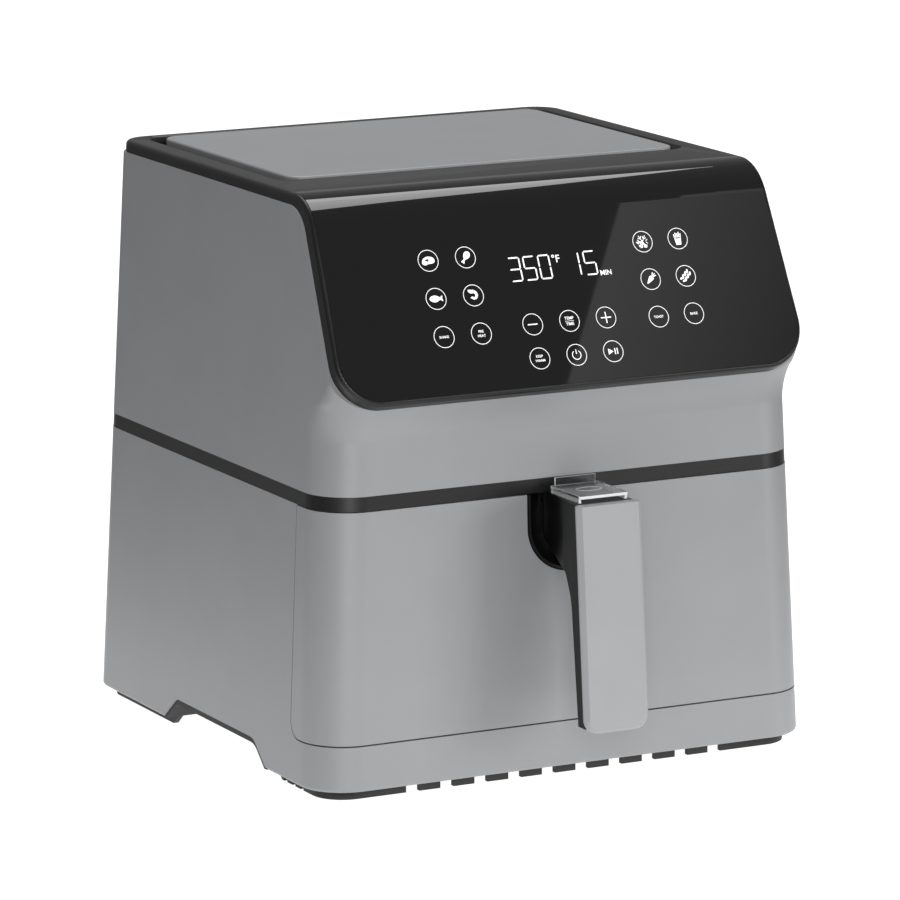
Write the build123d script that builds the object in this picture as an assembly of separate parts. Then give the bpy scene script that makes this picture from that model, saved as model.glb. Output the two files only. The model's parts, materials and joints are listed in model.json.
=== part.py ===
"""A drawer air fryer, in millimetres, as separate pieces that each go to their own STEP file.

+Z is up and the drawer opens towards -Y. The origin is on the table, under the middle of the
object's overall box, which runs from the handle's face to the back of the body.
"""

import os
from math import cos, radians, sin, sqrt, tan

from build123d import *

# Body
BASE_WIDTH = 300.0
TOP_WIDTH = 274.6
HEIGHT = 319.3
BODY_DEPTH = 298.4
FRONT_LEAN = 7.8
REAR_LEAN = 12.6
FRONT_CORNER = 25.5
REAR_CORNER = 18.0
WALL = 2.5
SHELL_BOTTOM = 6.2
FRAME_DEPTH = 6.35

# Middle band
BAND_BOTTOM = 156.5
BAND_HEIGHT = 7.85
BAND_WALL = 6.0

# Drawer
DRAWER_BOTTOM = 30.7
SEAM_SETBACK = 38.9
SEAM_CORNER = 10.0
PAN_WIDTH = 236.0
PAN_LENGTH = 218.0
PAN_BOTTOM = 38.0
PAN_TOP = 148.0
PAN_WALL = 1.2
PAN_CORNER = 24.0
BASKET_TOP = 147.0
BASKET_RISE = 8.0
BASKET_GAP = 7.0
PANEL_WALL = 2.0

# Handle
HANDLE_REACH = 52.6
HANDLE_WIDTH = 38.5
HANDLE_BOTTOM = 35.9
HANDLE_TOP = 157.1
HANDLE_FLARE = 9.7
COVER_THICKNESS = 6.0
ARM_THICKNESS = 12.0
ARM_TIP_THICKNESS = 7.5
NECK_WIDTH = 34.0
NECK_BACK_WIDTH = 16.4
NECK_TAPER_START = 22.0
CUP_RADIUS = 25.0
CUP_DEPTH = 18.0
CUP_WALL = 1.6
CUP_CENTRE_Z = 137.8
CUP_HOLLOW = 13.0

# Control panel
PANEL_LEAN = 25.64
PANEL_DROP = 104.3
PANEL_OVERHANG = 16.7
PANEL_THICKNESS = 8.6
PANEL_CORNER = 25.0
CREST_RADIUS = 27.5
FLARE_HEIGHT = 20.0
GLASS_THICKNESS = 2.0
GLASS_EDGE = 2.2
FRAME_SIDES = 1.2
WINDOW_HALF = 95.0
WINDOW_LOW = 16.0
WINDOW_HIGH = 82.0

# Top plate
PLATE_WIDTH = 234.0
PLATE_LENGTH = 171.0
PLATE_REAR_GAP = 18.6
PLATE_THICKNESS = 5.6
PLATE_RISE = 1.4
PLATE_EDGE = 1.3
CHANNEL_WIDTH = 7.0

# Finger recesses in the base, and the base tray
GRIP_REAR = 97.5
GRIP_LENGTH = 133.7
GRIP_HEIGHT = 13.8
GRIP_RAMP = 17.2
GRIP_REACH = 42.0
GRIP_LINING = 3.0
TRAY_WALL = 2.5
TRAY_HEIGHT = 16.0
SKIRT_INSET = 7.8
SKIRT_PITCH = 20.4
SKIRT_BLOCK = 12.5
FOOT_RADIUS = 9.0

# Cooking chamber
LINER_WIDTH = 248.0
LINER_WALL = 1.0
LINER_FLOOR = 34.0
LINER_TOP = 206.0
SHIELD_RISE = 9.0

# Fan, motor and element
SHAFT_RADIUS = 4.0
FAN_RADIUS = 80.0
COOLER_RADIUS = 55.0
MOTOR_RADIUS = 30.0
MOTOR_HEIGHT = 34.0
ELEMENT_TUBE = 3.3
ELEMENT_DROP = 31.0
GUARD_DROP = 9.0
GUARD_WIRE = 2.6
CLIP_ANGLES = [30.0, 150.0, 270.0]
DUCT_HALF = 40.0
DUCT_LOW = 176.0
DUCT_HIGH = 198.0
SENSOR_X = 70.0
SENSOR_Z = 184.0
SENSOR_RADIUS = 2.5

# Rear grille and cord gland
VENT_WIDTH = 124.0
VENT_LOW = 196.0
VENT_HIGH = 252.0
VENT_RIM = 6.0
VENT_SLATS = 6
GLAND_X = 95.0
GLAND_Z = 52.0
GLAND_BORE = 3.8
GLAND_NECK_WIDTH = 15.0
GLAND_NECK_HEIGHT = 12.0
GLAND_FLANGE = 9.0
GLAND_DEPTH = 9.0
GLAND_PROUD = 1.75

# Door switch
PLUNGER_INSET = 19.0
PLUNGER_Z = 98.0

# Latch and release button
LATCH_HALF = 3.0
LATCH_NOSE_Z = 143.5
PIVOT_Z = 133.0
PRONG_LOW = 4.2
PRONG_HIGH = 7.2
PIN_HALF = 8.5
BUTTON_LENGTH = 22.0
BUTTON_WIDTH = 14.0
BUTTON_DEPTH = 6.0
BUTTON_TRAVEL = 3.0
SPRING_RADIUS = 2.8
SCREW_SINK = 3.0

# Clearances
SEAM_GAP = 0.8
TOP_GAP = 0.5
SLIDE_GAP = 0.3
SHAFT_GAP = 0.05
FIT = 0.2
THREAD_FIT = 0.05

BODY_BACK = (BODY_DEPTH + HANDLE_REACH) / 2
BODY_FRONT = BODY_BACK - BODY_DEPTH
BAND_TOP = BAND_BOTTOM + BAND_HEIGHT
SEAM_Y = BODY_FRONT + SEAM_SETBACK
INNER_PANEL_BACK = SEAM_Y - 4.0
INNER_PANEL_FRONT = INNER_PANEL_BACK - PANEL_WALL
PAN_FRONT = INNER_PANEL_BACK
PAN_BACK = PAN_FRONT + PAN_LENGTH
FRONT_FRAME_FRONT = SEAM_Y + 2.0
FRONT_FRAME_BACK = FRONT_FRAME_FRONT + 3.0
LINER_BACK = PAN_BACK + 12.0
CENTRE_Y = PAN_FRONT + PAN_LENGTH / 2
SHIELD_TOP = LINER_TOP + SHIELD_RISE
MOTOR_BOTTOM = SHIELD_TOP + 25.0
BOARD_Z = SHIELD_TOP + 31.0
LEAN_SIN = sin(radians(PANEL_LEAN))
LEAN_COS = cos(radians(PANEL_LEAN))
FAR = 700.0
SQUARE_ENOUGH = 0.97


# ------------------------------------------------------------------ the tapered body


def rise(z):
    """How far up the tapered body a level lies, from 0 at the shell's bottom edge to 1 at the top."""
    return (z - SHELL_BOTTOM) / (HEIGHT - SHELL_BOTTOM)


def half_width(z):
    return BASE_WIDTH / 2 - (BASE_WIDTH - TOP_WIDTH) / 2 * rise(z)


def front_y(z):
    return BODY_FRONT + FRONT_LEAN * rise(z)


def rear_y(z):
    return BODY_BACK - REAR_LEAN * rise(z)


# Places that follow from the sizes above
FOOT_Z = HEIGHT - PANEL_DROP
FOOT_Y = front_y(FOOT_Z) - PANEL_OVERHANG
PANEL_PLANE = Plane(origin=(0, FOOT_Y, FOOT_Z), x_dir=(1, 0, 0), z_dir=(0, -LEAN_COS, LEAN_SIN))
CREST_TURN = (90.0 - PANEL_LEAN) / 2
GLASS_BACK_Y = FOOT_Y + PANEL_DROP * tan(radians(PANEL_LEAN)) + CREST_RADIUS * tan(radians(CREST_TURN)) + 3.0
PLATE_BACK = BODY_BACK - REAR_LEAN - PLATE_REAR_GAP
PLATE_FRONT = PLATE_BACK - PLATE_LENGTH
PLATE_TOP = HEIGHT + PLATE_RISE
TRAY_FLOOR = SHELL_BOTTOM + FIT
TRAY_FLOOR_TOP = TRAY_FLOOR + TRAY_WALL
VENT_Z = (VENT_LOW + VENT_HIGH) / 2
FRAME_OPENING = PAN_WIDTH / 2 + 3.5
RAIL_X = PAN_WIDTH / 2 - 24.0
SHAFT_TOP = MOTOR_BOTTOM + MOTOR_HEIGHT + 4.0
ELEMENT_Z = LINER_TOP - ELEMENT_DROP
GUARD_Z = ELEMENT_Z - GUARD_DROP
ELEMENT_LEGS = [(-FAN_RADIUS - 14.0, 9.0), (-FAN_RADIUS - 14.0, -9.0)]
CLIP_RADIUS = FAN_RADIUS + 16.0
PLUNGER_X = BASE_WIDTH / 2 - PLUNGER_INSET
CUP_BACK = front_y(CUP_CENTRE_Z) + CUP_DEPTH
BRACKET_Z = PAN_TOP + 1.2
PIVOT_Y = CUP_BACK - 16.4
NECK_BACK = CUP_BACK - CUP_WALL - 3.0
NECK_TOP = HANDLE_TOP - 0.1
BUTTON_Y = PIVOT_Y - 15.5
BUTTON_UNDER = NECK_TOP - BUTTON_DEPTH
SPRING_Y = BUTTON_Y - 2.6
SPRING_LOW = NECK_TOP - 17.0
STEM_Y = BUTTON_Y + 4.6
BASKET_HALF = PAN_WIDTH / 2 - BASKET_GAP
BASKET_Y = (PAN_FRONT + BASKET_GAP, PAN_BACK - BASKET_GAP)
BASKET_BOTTOM = PAN_BOTTOM + PAN_WALL + BASKET_RISE

# ------------------------------------------------------------------ building blocks


def section(z, inset=0.0, front=None, corner=FRONT_CORNER):
    """The body's rounded outline at one level, moved inwards by inset; front puts its face elsewhere."""
    half = half_width(z) - inset
    near = (front_y(z) if front is None else front) + inset
    back = rear_y(z) - inset
    outline = Pos(0, (near + back) / 2, z) * Rectangle(2 * half, back - near)
    outline = fillet(outline.vertices().sort_by(Axis.Y)[:2], max(corner - inset, 1.0))
    return fillet(outline.vertices().sort_by(Axis.Y)[-2:], REAR_CORNER - inset)


def taper(low, high, inset=0.0, front=None):
    """The body between two levels, as one solid."""
    return loft([section(low, inset, front), section(high, inset, front)], ruled=True)


def block(x, y, z):
    """A box between pairs of limits."""
    size = [b - a for a, b in (x, y, z)]
    middle = [(a + b) / 2 for a, b in (x, y, z)]
    return Pos(*middle) * Box(*size)


def side_profile(points, rounds=()):
    """A closed outline of (y, z) points; rounds holds (point, radius) pairs for its rounded corners."""
    face = make_face(Plane.YZ * Polyline(*points, close=True))
    for (y, z), radius in rounds:
        face = fillet(face.vertices().sort_by_distance(Vector(0, y, z))[0], radius)
    return face


def across(face, low, high):
    """A side profile run along X from low to high."""
    return Pos(low, 0, 0) * extrude(face, high - low, dir=(1, 0, 0))


def rod(start, end, radius):
    """A round bar between two points."""
    line = Vector(*end) - Vector(*start)
    return Plane(origin=start, z_dir=line) * Pos(0, 0, line.length / 2) * Cylinder(radius, line.length)


def screw(seat, out, shank=1.5, length=10.0):
    """A pan-head screw: seat is the middle of the face under its head, out points out of the head."""
    head = Pos(0, 0, 1.0) * Cylinder(2 * shank, 2.0)
    body = Pos(0, 0, -length / 2) * Cylinder(shank, length)
    recess = Pos(0, 0, 1.6) * (Box(2.4, 0.7, 0.9) + Box(0.7, 2.4, 0.9))
    return Plane(origin=seat, z_dir=out) * (head + body - recess)


def screw_hole(seat, out, shank=1.5, length=10.0):
    """The hole that the same screw's thread fills."""
    depth = length + 1.0
    return Plane(origin=seat, z_dir=out) * Pos(0, 0, -depth / 2 + 0.1) * Cylinder(shank + THREAD_FIT, depth)


# ------------------------------------------------------------------ the slanted panel's own frame


def under_face(depth, top_depth, radius):
    """All the space at least depth behind the panel's face and top_depth under the flat top."""
    reach = 150.0
    y0 = FOOT_Y + depth * LEAN_COS
    z0 = FOOT_Z - depth * LEAN_SIN
    top = HEIGHT - top_depth
    crest = (y0 + (top - z0) * tan(radians(PANEL_LEAN)), top)
    low = (y0 - reach * LEAN_SIN, z0 - reach * LEAN_COS)
    points = [low, crest, (FAR, top), (FAR, low[1])]
    return across(side_profile(points, [(crest, radius)]), -FAR, FAR)


def above_foot(lift=0.0):
    """All the space above the panel's lower edge, square to the panel."""
    return PANEL_PLANE * Pos(0, FAR / 2 + lift, 0) * Box(2 * FAR, FAR, FAR)


def bent_sheet(outer, inner, sides, lift, corner, back_y):
    """A layer of the bent front: outer and inner are (panel depth, top depth, bend radius)."""
    sheet = (under_face(*outer) - under_face(*inner)) & above_foot(lift)
    sheet = sheet & taper(SHELL_BOTTOM, HEIGHT, sides, front=BODY_FRONT - 60.0)
    sheet = sheet & block((-FAR, FAR), (-FAR, back_y), (0, HEIGHT))
    normal = PANEL_PLANE.z_dir
    edges = sheet.edges().filter_by(lambda e: abs(e.tangent_at(0.5).dot(normal)) > SQUARE_ENOUGH)
    return fillet(edges.sort_by(Axis.Z)[:2], corner)


# ------------------------------------------------------------------ outside shells

def grip_profile(shrink=0.0, below=12.0):
    """The finger recess seen from the side, open downwards."""
    back = BODY_BACK - GRIP_REAR - shrink
    front = BODY_BACK - GRIP_REAR - GRIP_LENGTH + shrink
    top = SHELL_BOTTOM + GRIP_HEIGHT - shrink
    slope = GRIP_RAMP / GRIP_HEIGHT
    drop = GRIP_HEIGHT - shrink + below
    rear_top = (back - slope * (GRIP_HEIGHT - shrink), top)
    front_top = (front + slope * (GRIP_HEIGHT - shrink), top)
    points = [(rear_top[0] + slope * drop, top - drop), rear_top, front_top,
              (front_top[0] - slope * drop, top - drop)]
    return side_profile(points, [(rear_top, 8.0), (front_top, 12.0)])


def drawer_space(gap=0.0):
    """The part of the body that belongs to the drawer front."""
    corner = (SEAM_Y - gap, DRAWER_BOTTOM + gap)
    points = [(corner[0], BAND_BOTTOM - gap * TOP_GAP / SEAM_GAP), corner, (-FAR, corner[1]),
              (-FAR, BAND_BOTTOM - gap * TOP_GAP / SEAM_GAP)]
    return across(side_profile(points, [(corner, SEAM_CORNER - gap)]), -FAR, FAR)


def base_posts():
    """Where the four base screws go up into the lower shell, as (x, y) pairs."""
    x = BASE_WIDTH / 2 - 17.0
    return [(sx * x, y) for sx in (-1, 1) for y in (SEAM_Y + 16.0, BODY_BACK - 45.0)]


def lower_shell():
    outer = taper(SHELL_BOTTOM, BAND_BOTTOM)
    outer = fillet(outer.faces().sort_by(Axis.Z)[0].edges(), 2.0)
    shell = outer - taper(SHELL_BOTTOM - 1, BAND_BOTTOM + 1, WALL) - drawer_space()
    shell -= across(grip_profile(), -FAR, FAR)
    for x, y in base_posts():
        side = 1 if x > 0 else -1
        floor = TRAY_FLOOR_TOP
        post = Pos(x, y, floor + 15) * Cylinder(4.5, 30)
        wall_x = half_width(floor) - WALL / 2
        web = block(sorted((x, side * wall_x)), (y - 1, y + 1), (TRAY_FLOOR + TRAY_HEIGHT + 1, floor + 28))
        shell += post + (web & taper(SHELL_BOTTOM, BAND_BOTTOM, WALL / 2))
        shell -= screw_hole((x, y, TRAY_FLOOR), (0, 0, -1), length=14)
    return shell - gland_slot(-20, 20, THREAD_FIT)


def gland_slot(low, high, gap=0.0):
    """The gland's oblong neck, which its seat keeps from turning, between two depths behind the rear wall."""
    y = rear_y(GLAND_Z)
    outline = SlotOverall(GLAND_NECK_WIDTH + 2 * gap, GLAND_NECK_HEIGHT + 2 * gap)
    seat = Plane(origin=(GLAND_X, y + low, GLAND_Z), x_dir=(1, 0, 0), z_dir=(0, 1, 0))
    return seat * extrude(outline, high - low)


def cord_gland():
    """The bush that the mains lead comes out of, with a flange inside and another outside the rear wall."""
    y = rear_y(GLAND_Z)
    slack = 0.4
    bush = gland_slot(-GLAND_DEPTH, slack)
    bush += rod((GLAND_X, y - GLAND_DEPTH, GLAND_Z), (GLAND_X, y - WALL - slack, GLAND_Z), GLAND_FLANGE)
    bush += rod((GLAND_X, y + slack, GLAND_Z), (GLAND_X, y + GLAND_PROUD, GLAND_Z), GLAND_FLANGE)
    return bush - rod((GLAND_X, y - 20, GLAND_Z), (GLAND_X, y + 20, GLAND_Z), GLAND_BORE)


def skirt_notches():
    """The gaps between the skirt's blocks along the front, and the narrow notches along each side."""
    gap = SKIRT_PITCH - SKIRT_BLOCK
    height = (-5.0, TRAY_FLOOR - 1.8)
    cuts = []
    for i in range(-4, 5 + 1):
        x = (i - 0.5) * SKIRT_PITCH
        cuts.append(block((x - gap / 2, x + gap / 2), (-FAR, BODY_FRONT + SKIRT_INSET + 4), height))
    for i in range(4):
        y = SEAM_Y + 10.0 * i
        for x in ((-FAR, -BASE_WIDTH / 2 + SKIRT_INSET + 4), (BASE_WIDTH / 2 - SKIRT_INSET - 4, FAR)):
            cuts.append(block(x, (y - 1.75, y + 1.75), height))
    return cuts


def under_tray():
    """The base tray: floor and low walls inside the shell, a notched skirt below, two finger recesses."""
    tray = taper(TRAY_FLOOR, TRAY_FLOOR + TRAY_HEIGHT, WALL + FIT)
    tray -= taper(TRAY_FLOOR_TOP, TRAY_FLOOR + TRAY_HEIGHT + 1, WALL + FIT + TRAY_WALL)
    skirt = section(SHELL_BOTTOM, SKIRT_INSET)
    inner = section(SHELL_BOTTOM, SKIRT_INSET + 3.0)
    height = TRAY_FLOOR - 0.8
    ring = Pos(0, 0, -SHELL_BOTTOM + 0.8) * (extrude(skirt, height) - extrude(inner, height))
    for cut in skirt_notches():
        ring -= cut
    tray += ring
    room = taper(0.1, TRAY_FLOOR + TRAY_HEIGHT + 10, 2 * FIT)
    for side in (-1, 1):
        inside = BASE_WIDTH / 2 - GRIP_REACH
        low, high = sorted((side * inside, side * FAR))
        tray += across(grip_profile(FIT, 0.0), low, high) & room
        deep = side * (inside + GRIP_LINING)
        low, high = sorted((deep, side * FAR))
        tray -= across(grip_profile(GRIP_LINING, 20.0), low, high)
    for x, y in base_posts():
        tray -= screw_hole((x, y, TRAY_FLOOR), (0, 0, -1), length=14)
    return tray


def rubber_feet():
    places = [(sx * (BASE_WIDTH / 2 - 38), y) for sx in (-1, 1) for y in (BODY_FRONT + 38, BODY_BACK - 38)]
    feet = []
    for x, y in places:
        foot = Pos(x, y, TRAY_FLOOR / 2) * Cylinder(FOOT_RADIUS, TRAY_FLOOR)
        feet.append(chamfer(foot.faces().sort_by(Axis.Z)[0].edges(), 1.2))
    return feet


def base_screws():
    return [screw((x, y, TRAY_FLOOR), (0, 0, -1), length=14) for x, y in base_posts()]


def middle_band():
    band = taper(BAND_BOTTOM, BAND_TOP, FIT)
    return band - taper(BAND_BOTTOM - 1, BAND_TOP + 1, BAND_WALL)


def flare_front(z):
    """The upper shell's front swells forward in a hollow curve to meet the foot of the panel."""
    reach = PANEL_OVERHANG - PANEL_THICKNESS * LEAN_COS
    foot = FOOT_Z - PANEL_THICKNESS * LEAN_SIN
    t = min(1.0, max(0.0, (z - (foot - FLARE_HEIGHT)) / FLARE_HEIGHT))
    return front_y(z) - reach * t ** 1.8


def flare_corner(z):
    """Behind the panel's rounded lower corners the body's upright corners shrink away."""
    foot = FOOT_Z - PANEL_THICKNESS * LEAN_SIN
    t = min(1.0, max(0.0, (z - foot) / PANEL_CORNER))
    return FRONT_CORNER * (1 - 0.9 * t ** 0.7)


def flared(low, high, inset=0.0):
    """The upper body between two levels, with its flare, before the panel's slant is cut off it."""
    foot = FOOT_Z - PANEL_THICKNESS * LEAN_SIN
    steps = 8
    levels = [low] + [foot - FLARE_HEIGHT * (1 - i / steps) for i in range(steps + 1)]
    levels += [foot + PANEL_CORNER * i / steps for i in range(1, steps + 1)] + [high]
    return loft([section(z, inset, flare_front(z), flare_corner(z)) for z in levels], ruled=True)


def upper_shell():
    shell = flared(BAND_TOP, HEIGHT) & under_face(PANEL_THICKNESS, FRAME_DEPTH, CREST_RADIUS - FRAME_DEPTH)
    room = flared(BAND_TOP - 1, HEIGHT + 5, WALL)
    room &= under_face(PANEL_THICKNESS - 5, -10, CREST_RADIUS + 5)
    shell -= room
    y = rear_y(VENT_Z)
    shell -= block((-VENT_WIDTH / 2, VENT_WIDTH / 2), (y - 12, FAR), (VENT_LOW, VENT_HIGH))
    return shell


def vent_grille():
    """A framed panel of slanting slats in the rear wall; the hot air leaves here."""
    outer = block((-VENT_WIDTH / 2 + FIT, VENT_WIDTH / 2 - FIT), (BODY_BACK - 40, BODY_BACK),
                  (VENT_LOW + FIT, VENT_HIGH - FIT))
    skin = taper(VENT_LOW - 5, VENT_HIGH + 5) - taper(VENT_LOW - 6, VENT_HIGH + 6, 4.0)
    frame = outer & skin
    half = VENT_WIDTH / 2 - VENT_RIM
    mouth = block((-half, half), (0, FAR), (VENT_LOW + VENT_RIM, VENT_HIGH - VENT_RIM))
    slats = []
    pitch = (VENT_HIGH - VENT_LOW - 2 * VENT_RIM) / VENT_SLATS
    for i in range(VENT_SLATS):
        z = VENT_LOW + VENT_RIM + (i + 0.5) * pitch
        slat = Pos(0, rear_y(z) - 2.2, z) * Rot(35, 0, 0) * Box(2 * half + 1, 4.2, 1.4)
        slats.append(slat)
    grille = frame - mouth
    for slat in slats:
        grille += slat & taper(VENT_LOW - 5, VENT_HIGH + 5, 0.3)
    for x in (-24.0, 24.0):
        rib = block((x - 1, x + 1), (0, FAR), (VENT_LOW + 4, VENT_HIGH - 4))
        grille += rib & (taper(VENT_LOW - 5, VENT_HIGH + 5, 0.4) - taper(VENT_LOW - 6, VENT_HIGH + 6, 3.6))
    return grille


# ------------------------------------------------------------------ top


def control_glass(gap=0.0):
    """The gloss sheet that carries the display and the touch marks, bent over the crest."""
    deep = GLASS_THICKNESS + gap
    return bent_sheet((0, 0, CREST_RADIUS), (deep, deep, CREST_RADIUS - deep), FRAME_SIDES + GLASS_EDGE - gap,
                      GLASS_EDGE - gap, PANEL_CORNER - GLASS_EDGE + gap, GLASS_BACK_Y + gap)


def top_frame():
    """One moulding: the flat rim round the top plate and the bent bezel behind the glass."""
    inner = (PANEL_THICKNESS, FRAME_DEPTH, CREST_RADIUS - FRAME_DEPTH)
    frame = bent_sheet((0, 0, CREST_RADIUS), inner, FRAME_SIDES, 0.0, PANEL_CORNER, FAR)
    top = frame.faces().filter_by(Axis.Z).sort_by(Axis.Z)[-1]
    rim = [e for e in top.edges() if e.center().Y > GLASS_BACK_Y]
    frame = fillet(rim, 2.4)
    half = PLATE_WIDTH / 2 + CHANNEL_WIDTH
    back = PLATE_BACK + CHANNEL_WIDTH
    floor = PLATE_TOP - PLATE_THICKNESS
    frame += block((-half - 2, half + 2), (PLATE_FRONT - 2, back + 2), (floor - 3.0, HEIGHT - 3))
    pocket = block((-half, half), (PLATE_FRONT, back), (floor, HEIGHT + 1))
    frame -= fillet(pocket.edges().filter_by(Axis.Z), 10.0)
    frame -= control_glass(0.1)
    window = block((-WINDOW_HALF, WINDOW_HALF), (WINDOW_LOW, WINDOW_HIGH), (-PANEL_THICKNESS - 4, 1))
    return frame - PANEL_PLANE * window


def top_plate():
    plate = block((-PLATE_WIDTH / 2, PLATE_WIDTH / 2), (PLATE_FRONT, PLATE_BACK),
                  (PLATE_TOP - PLATE_THICKNESS, PLATE_TOP))
    plate = fillet(plate.edges().filter_by(Axis.Z), 10.0)
    return fillet(plate.faces().sort_by(Axis.Z)[-1].edges(), PLATE_EDGE)


def touch_board():
    board = block((-WINDOW_HALF - 6, WINDOW_HALF + 6), (WINDOW_LOW - 5, WINDOW_HIGH + 5),
                  (-PANEL_THICKNESS - 1.6, -PANEL_THICKNESS))
    return PANEL_PLANE * board


def display_module():
    return PANEL_PLANE * block((-34, 34), (44, 74), (-PANEL_THICKNESS, -GLASS_THICKNESS - 0.4))


def buzzer():
    base = -PANEL_THICKNESS - 1.6
    body = Pos(40, 30, base - 3.5) * Cylinder(6, 7)
    return PANEL_PLANE * (body - Pos(40, 30, base - 7) * Cylinder(1.5, 2))


# ------------------------------------------------------------------ cooking chamber


def front_frame():
    """The frame inside the drawer opening; the liner is fixed behind it."""
    plate = taper(SHELL_BOTTOM + 20, BAND_BOTTOM, WALL + FIT)
    plate &= block((-FAR, FAR), (FRONT_FRAME_FRONT, FRONT_FRAME_BACK), (0, HEIGHT))
    opening = block((-FRAME_OPENING, FRAME_OPENING), (-FAR, FAR), (PAN_BOTTOM - 3, BAND_BOTTOM + 1))
    plate -= opening
    return plate - rod((PLUNGER_X, -FAR, PLUNGER_Z), (PLUNGER_X, FAR, PLUNGER_Z), 4.0)


def cavity_liner():
    half = LINER_WIDTH / 2
    outer = block((-half, half), (FRONT_FRAME_BACK, LINER_BACK), (LINER_FLOOR, LINER_TOP))
    outer = fillet(outer.edges().filter_by(Axis.Z).sort_by(Axis.Y)[-2:], 20.0)
    room = half - LINER_WALL
    inner = block((-room, room), (FRONT_FRAME_BACK + LINER_WALL, LINER_BACK - LINER_WALL),
                  (LINER_FLOOR + LINER_WALL, LINER_TOP - LINER_WALL))
    inner = fillet(inner.edges().filter_by(Axis.Z).sort_by(Axis.Y)[-2:], 20.0 - LINER_WALL)
    liner = outer - inner
    liner -= block((-room, room), (-FAR, FRONT_FRAME_BACK + 5), (LINER_FLOOR + LINER_WALL, BAND_BOTTOM))
    liner -= rod((0, CENTRE_Y, LINER_TOP - 10), (0, CENTRE_Y, LINER_TOP + 10), SHAFT_RADIUS + 4)
    for x, y in ELEMENT_LEGS:
        liner -= rod((x, CENTRE_Y + y, LINER_TOP - 9), (x, CENTRE_Y + y, LINER_TOP + 9), ELEMENT_TUBE + FIT)
    liner -= block((-DUCT_HALF, DUCT_HALF), (LINER_BACK - 9, LINER_BACK + 9), (DUCT_LOW, DUCT_HIGH))
    stem = SENSOR_RADIUS + THREAD_FIT
    return liner - rod((SENSOR_X, LINER_BACK - 20, SENSOR_Z), (SENSOR_X, LINER_BACK + 9, SENSOR_Z), stem)


def exhaust_duct():
    """A bent sheet duct from the chamber's back wall up to the rear grille."""
    back = rear_y(VENT_HIGH) - 4.5
    low = [(LINER_BACK, DUCT_LOW), (back, DUCT_LOW + 22), (back, DUCT_HIGH + 40), (LINER_BACK, DUCT_HIGH)]
    duct = across(side_profile(low), -DUCT_HALF - 1, DUCT_HALF + 1)
    t = 1.0
    air = [(LINER_BACK - 5, DUCT_LOW + t - 3), (back + 5, DUCT_LOW + 22 + t + 5),
           (back + 5, DUCT_HIGH + 40 - 2 * t), (LINER_BACK - 5, DUCT_HIGH - 2 * t - 10)]
    return duct - across(side_profile(air), -DUCT_HALF, DUCT_HALF)


def drawer_rails():
    y = (FRONT_FRAME_BACK + 2, LINER_BACK - 30)
    z = (LINER_FLOOR + LINER_WALL, PAN_BOTTOM - SLIDE_GAP)
    return [block((x - 4, x + 4), y, z) for x in (-RAIL_X, RAIL_X)]


def heat_shield():
    """An inverted sheet tray over the chamber."""
    half = LINER_WIDTH / 2 - 8
    y = (FRONT_FRAME_BACK + 6, LINER_BACK - 6)
    shield = block((-half, half), y, (LINER_TOP, SHIELD_TOP))
    shield -= block((-half + 1, half - 1), (y[0] + 1, y[1] - 1), (LINER_TOP - 1, SHIELD_TOP - 1))
    return shield - rod((0, CENTRE_Y, LINER_TOP), (0, CENTRE_Y, SHIELD_TOP + 9), SHAFT_RADIUS + 4)


def heating_element():
    """A tubular element: two joined rings under the fan, with two legs up through the liner."""
    rings = Torus(FAN_RADIUS - 2, ELEMENT_TUBE) + Torus(FAN_RADIUS - 24, ELEMENT_TUBE)
    front = CENTRE_Y - FAN_RADIUS
    element = Pos(0, CENTRE_Y, ELEMENT_Z) * rings
    element += rod((0, front + 24, ELEMENT_Z), (0, front + 2, ELEMENT_Z), ELEMENT_TUBE)
    for x, y in ELEMENT_LEGS:
        inner = (-sqrt((FAN_RADIUS - 2) ** 2 - y ** 2), CENTRE_Y + y, ELEMENT_Z)
        corner = (x, CENTRE_Y + y, ELEMENT_Z)
        element += rod(inner, corner, ELEMENT_TUBE) + Pos(*corner) * Sphere(ELEMENT_TUBE)
        element += rod(corner, (x, CENTRE_Y + y, LINER_TOP + 5), ELEMENT_TUBE)
    return element


def element_clips():
    """Three hangers from the liner's top that carry the element and the guard."""
    clips = []
    for angle in CLIP_ANGLES:
        hanger = block((CLIP_RADIUS - 1, CLIP_RADIUS + 1), (-4, 4), (GUARD_Z + 1.3, LINER_TOP - LINER_WALL))
        ledge_top = ELEMENT_Z - ELEMENT_TUBE
        ledge = block((FAN_RADIUS - 28, CLIP_RADIUS), (-4, 4), (ledge_top - 1.2, ledge_top))
        foot = block((CLIP_RADIUS - 5, CLIP_RADIUS + 1), (-4, 4), (GUARD_Z + 1.3, GUARD_Z + 2.5))
        clips.append(Pos(0, CENTRE_Y, 0) * Rot(0, 0, angle) * (hanger + ledge + foot))
    return clips


def heater_guard():
    """A guard of three rings and six spokes under the element."""
    wire = GUARD_WIRE
    guard = Cylinder(32 + wire, wire) - Cylinder(32, 2 * wire)
    for radius in (62.0, CLIP_RADIUS - wire):
        guard += Cylinder(radius + wire, wire) - Cylinder(radius, 2 * wire)
    for i in range(6):
        guard += Rot(0, 0, 60 * i) * Pos((33 + CLIP_RADIUS) / 2, 0, 0) * Box(CLIP_RADIUS - 34, wire, wire)
    return Pos(0, CENTRE_Y, GUARD_Z) * guard


def rotor_shaft():
    return rod((0, CENTRE_Y, ELEMENT_Z + 7), (0, CENTRE_Y, SHAFT_TOP), SHAFT_RADIUS)


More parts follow.
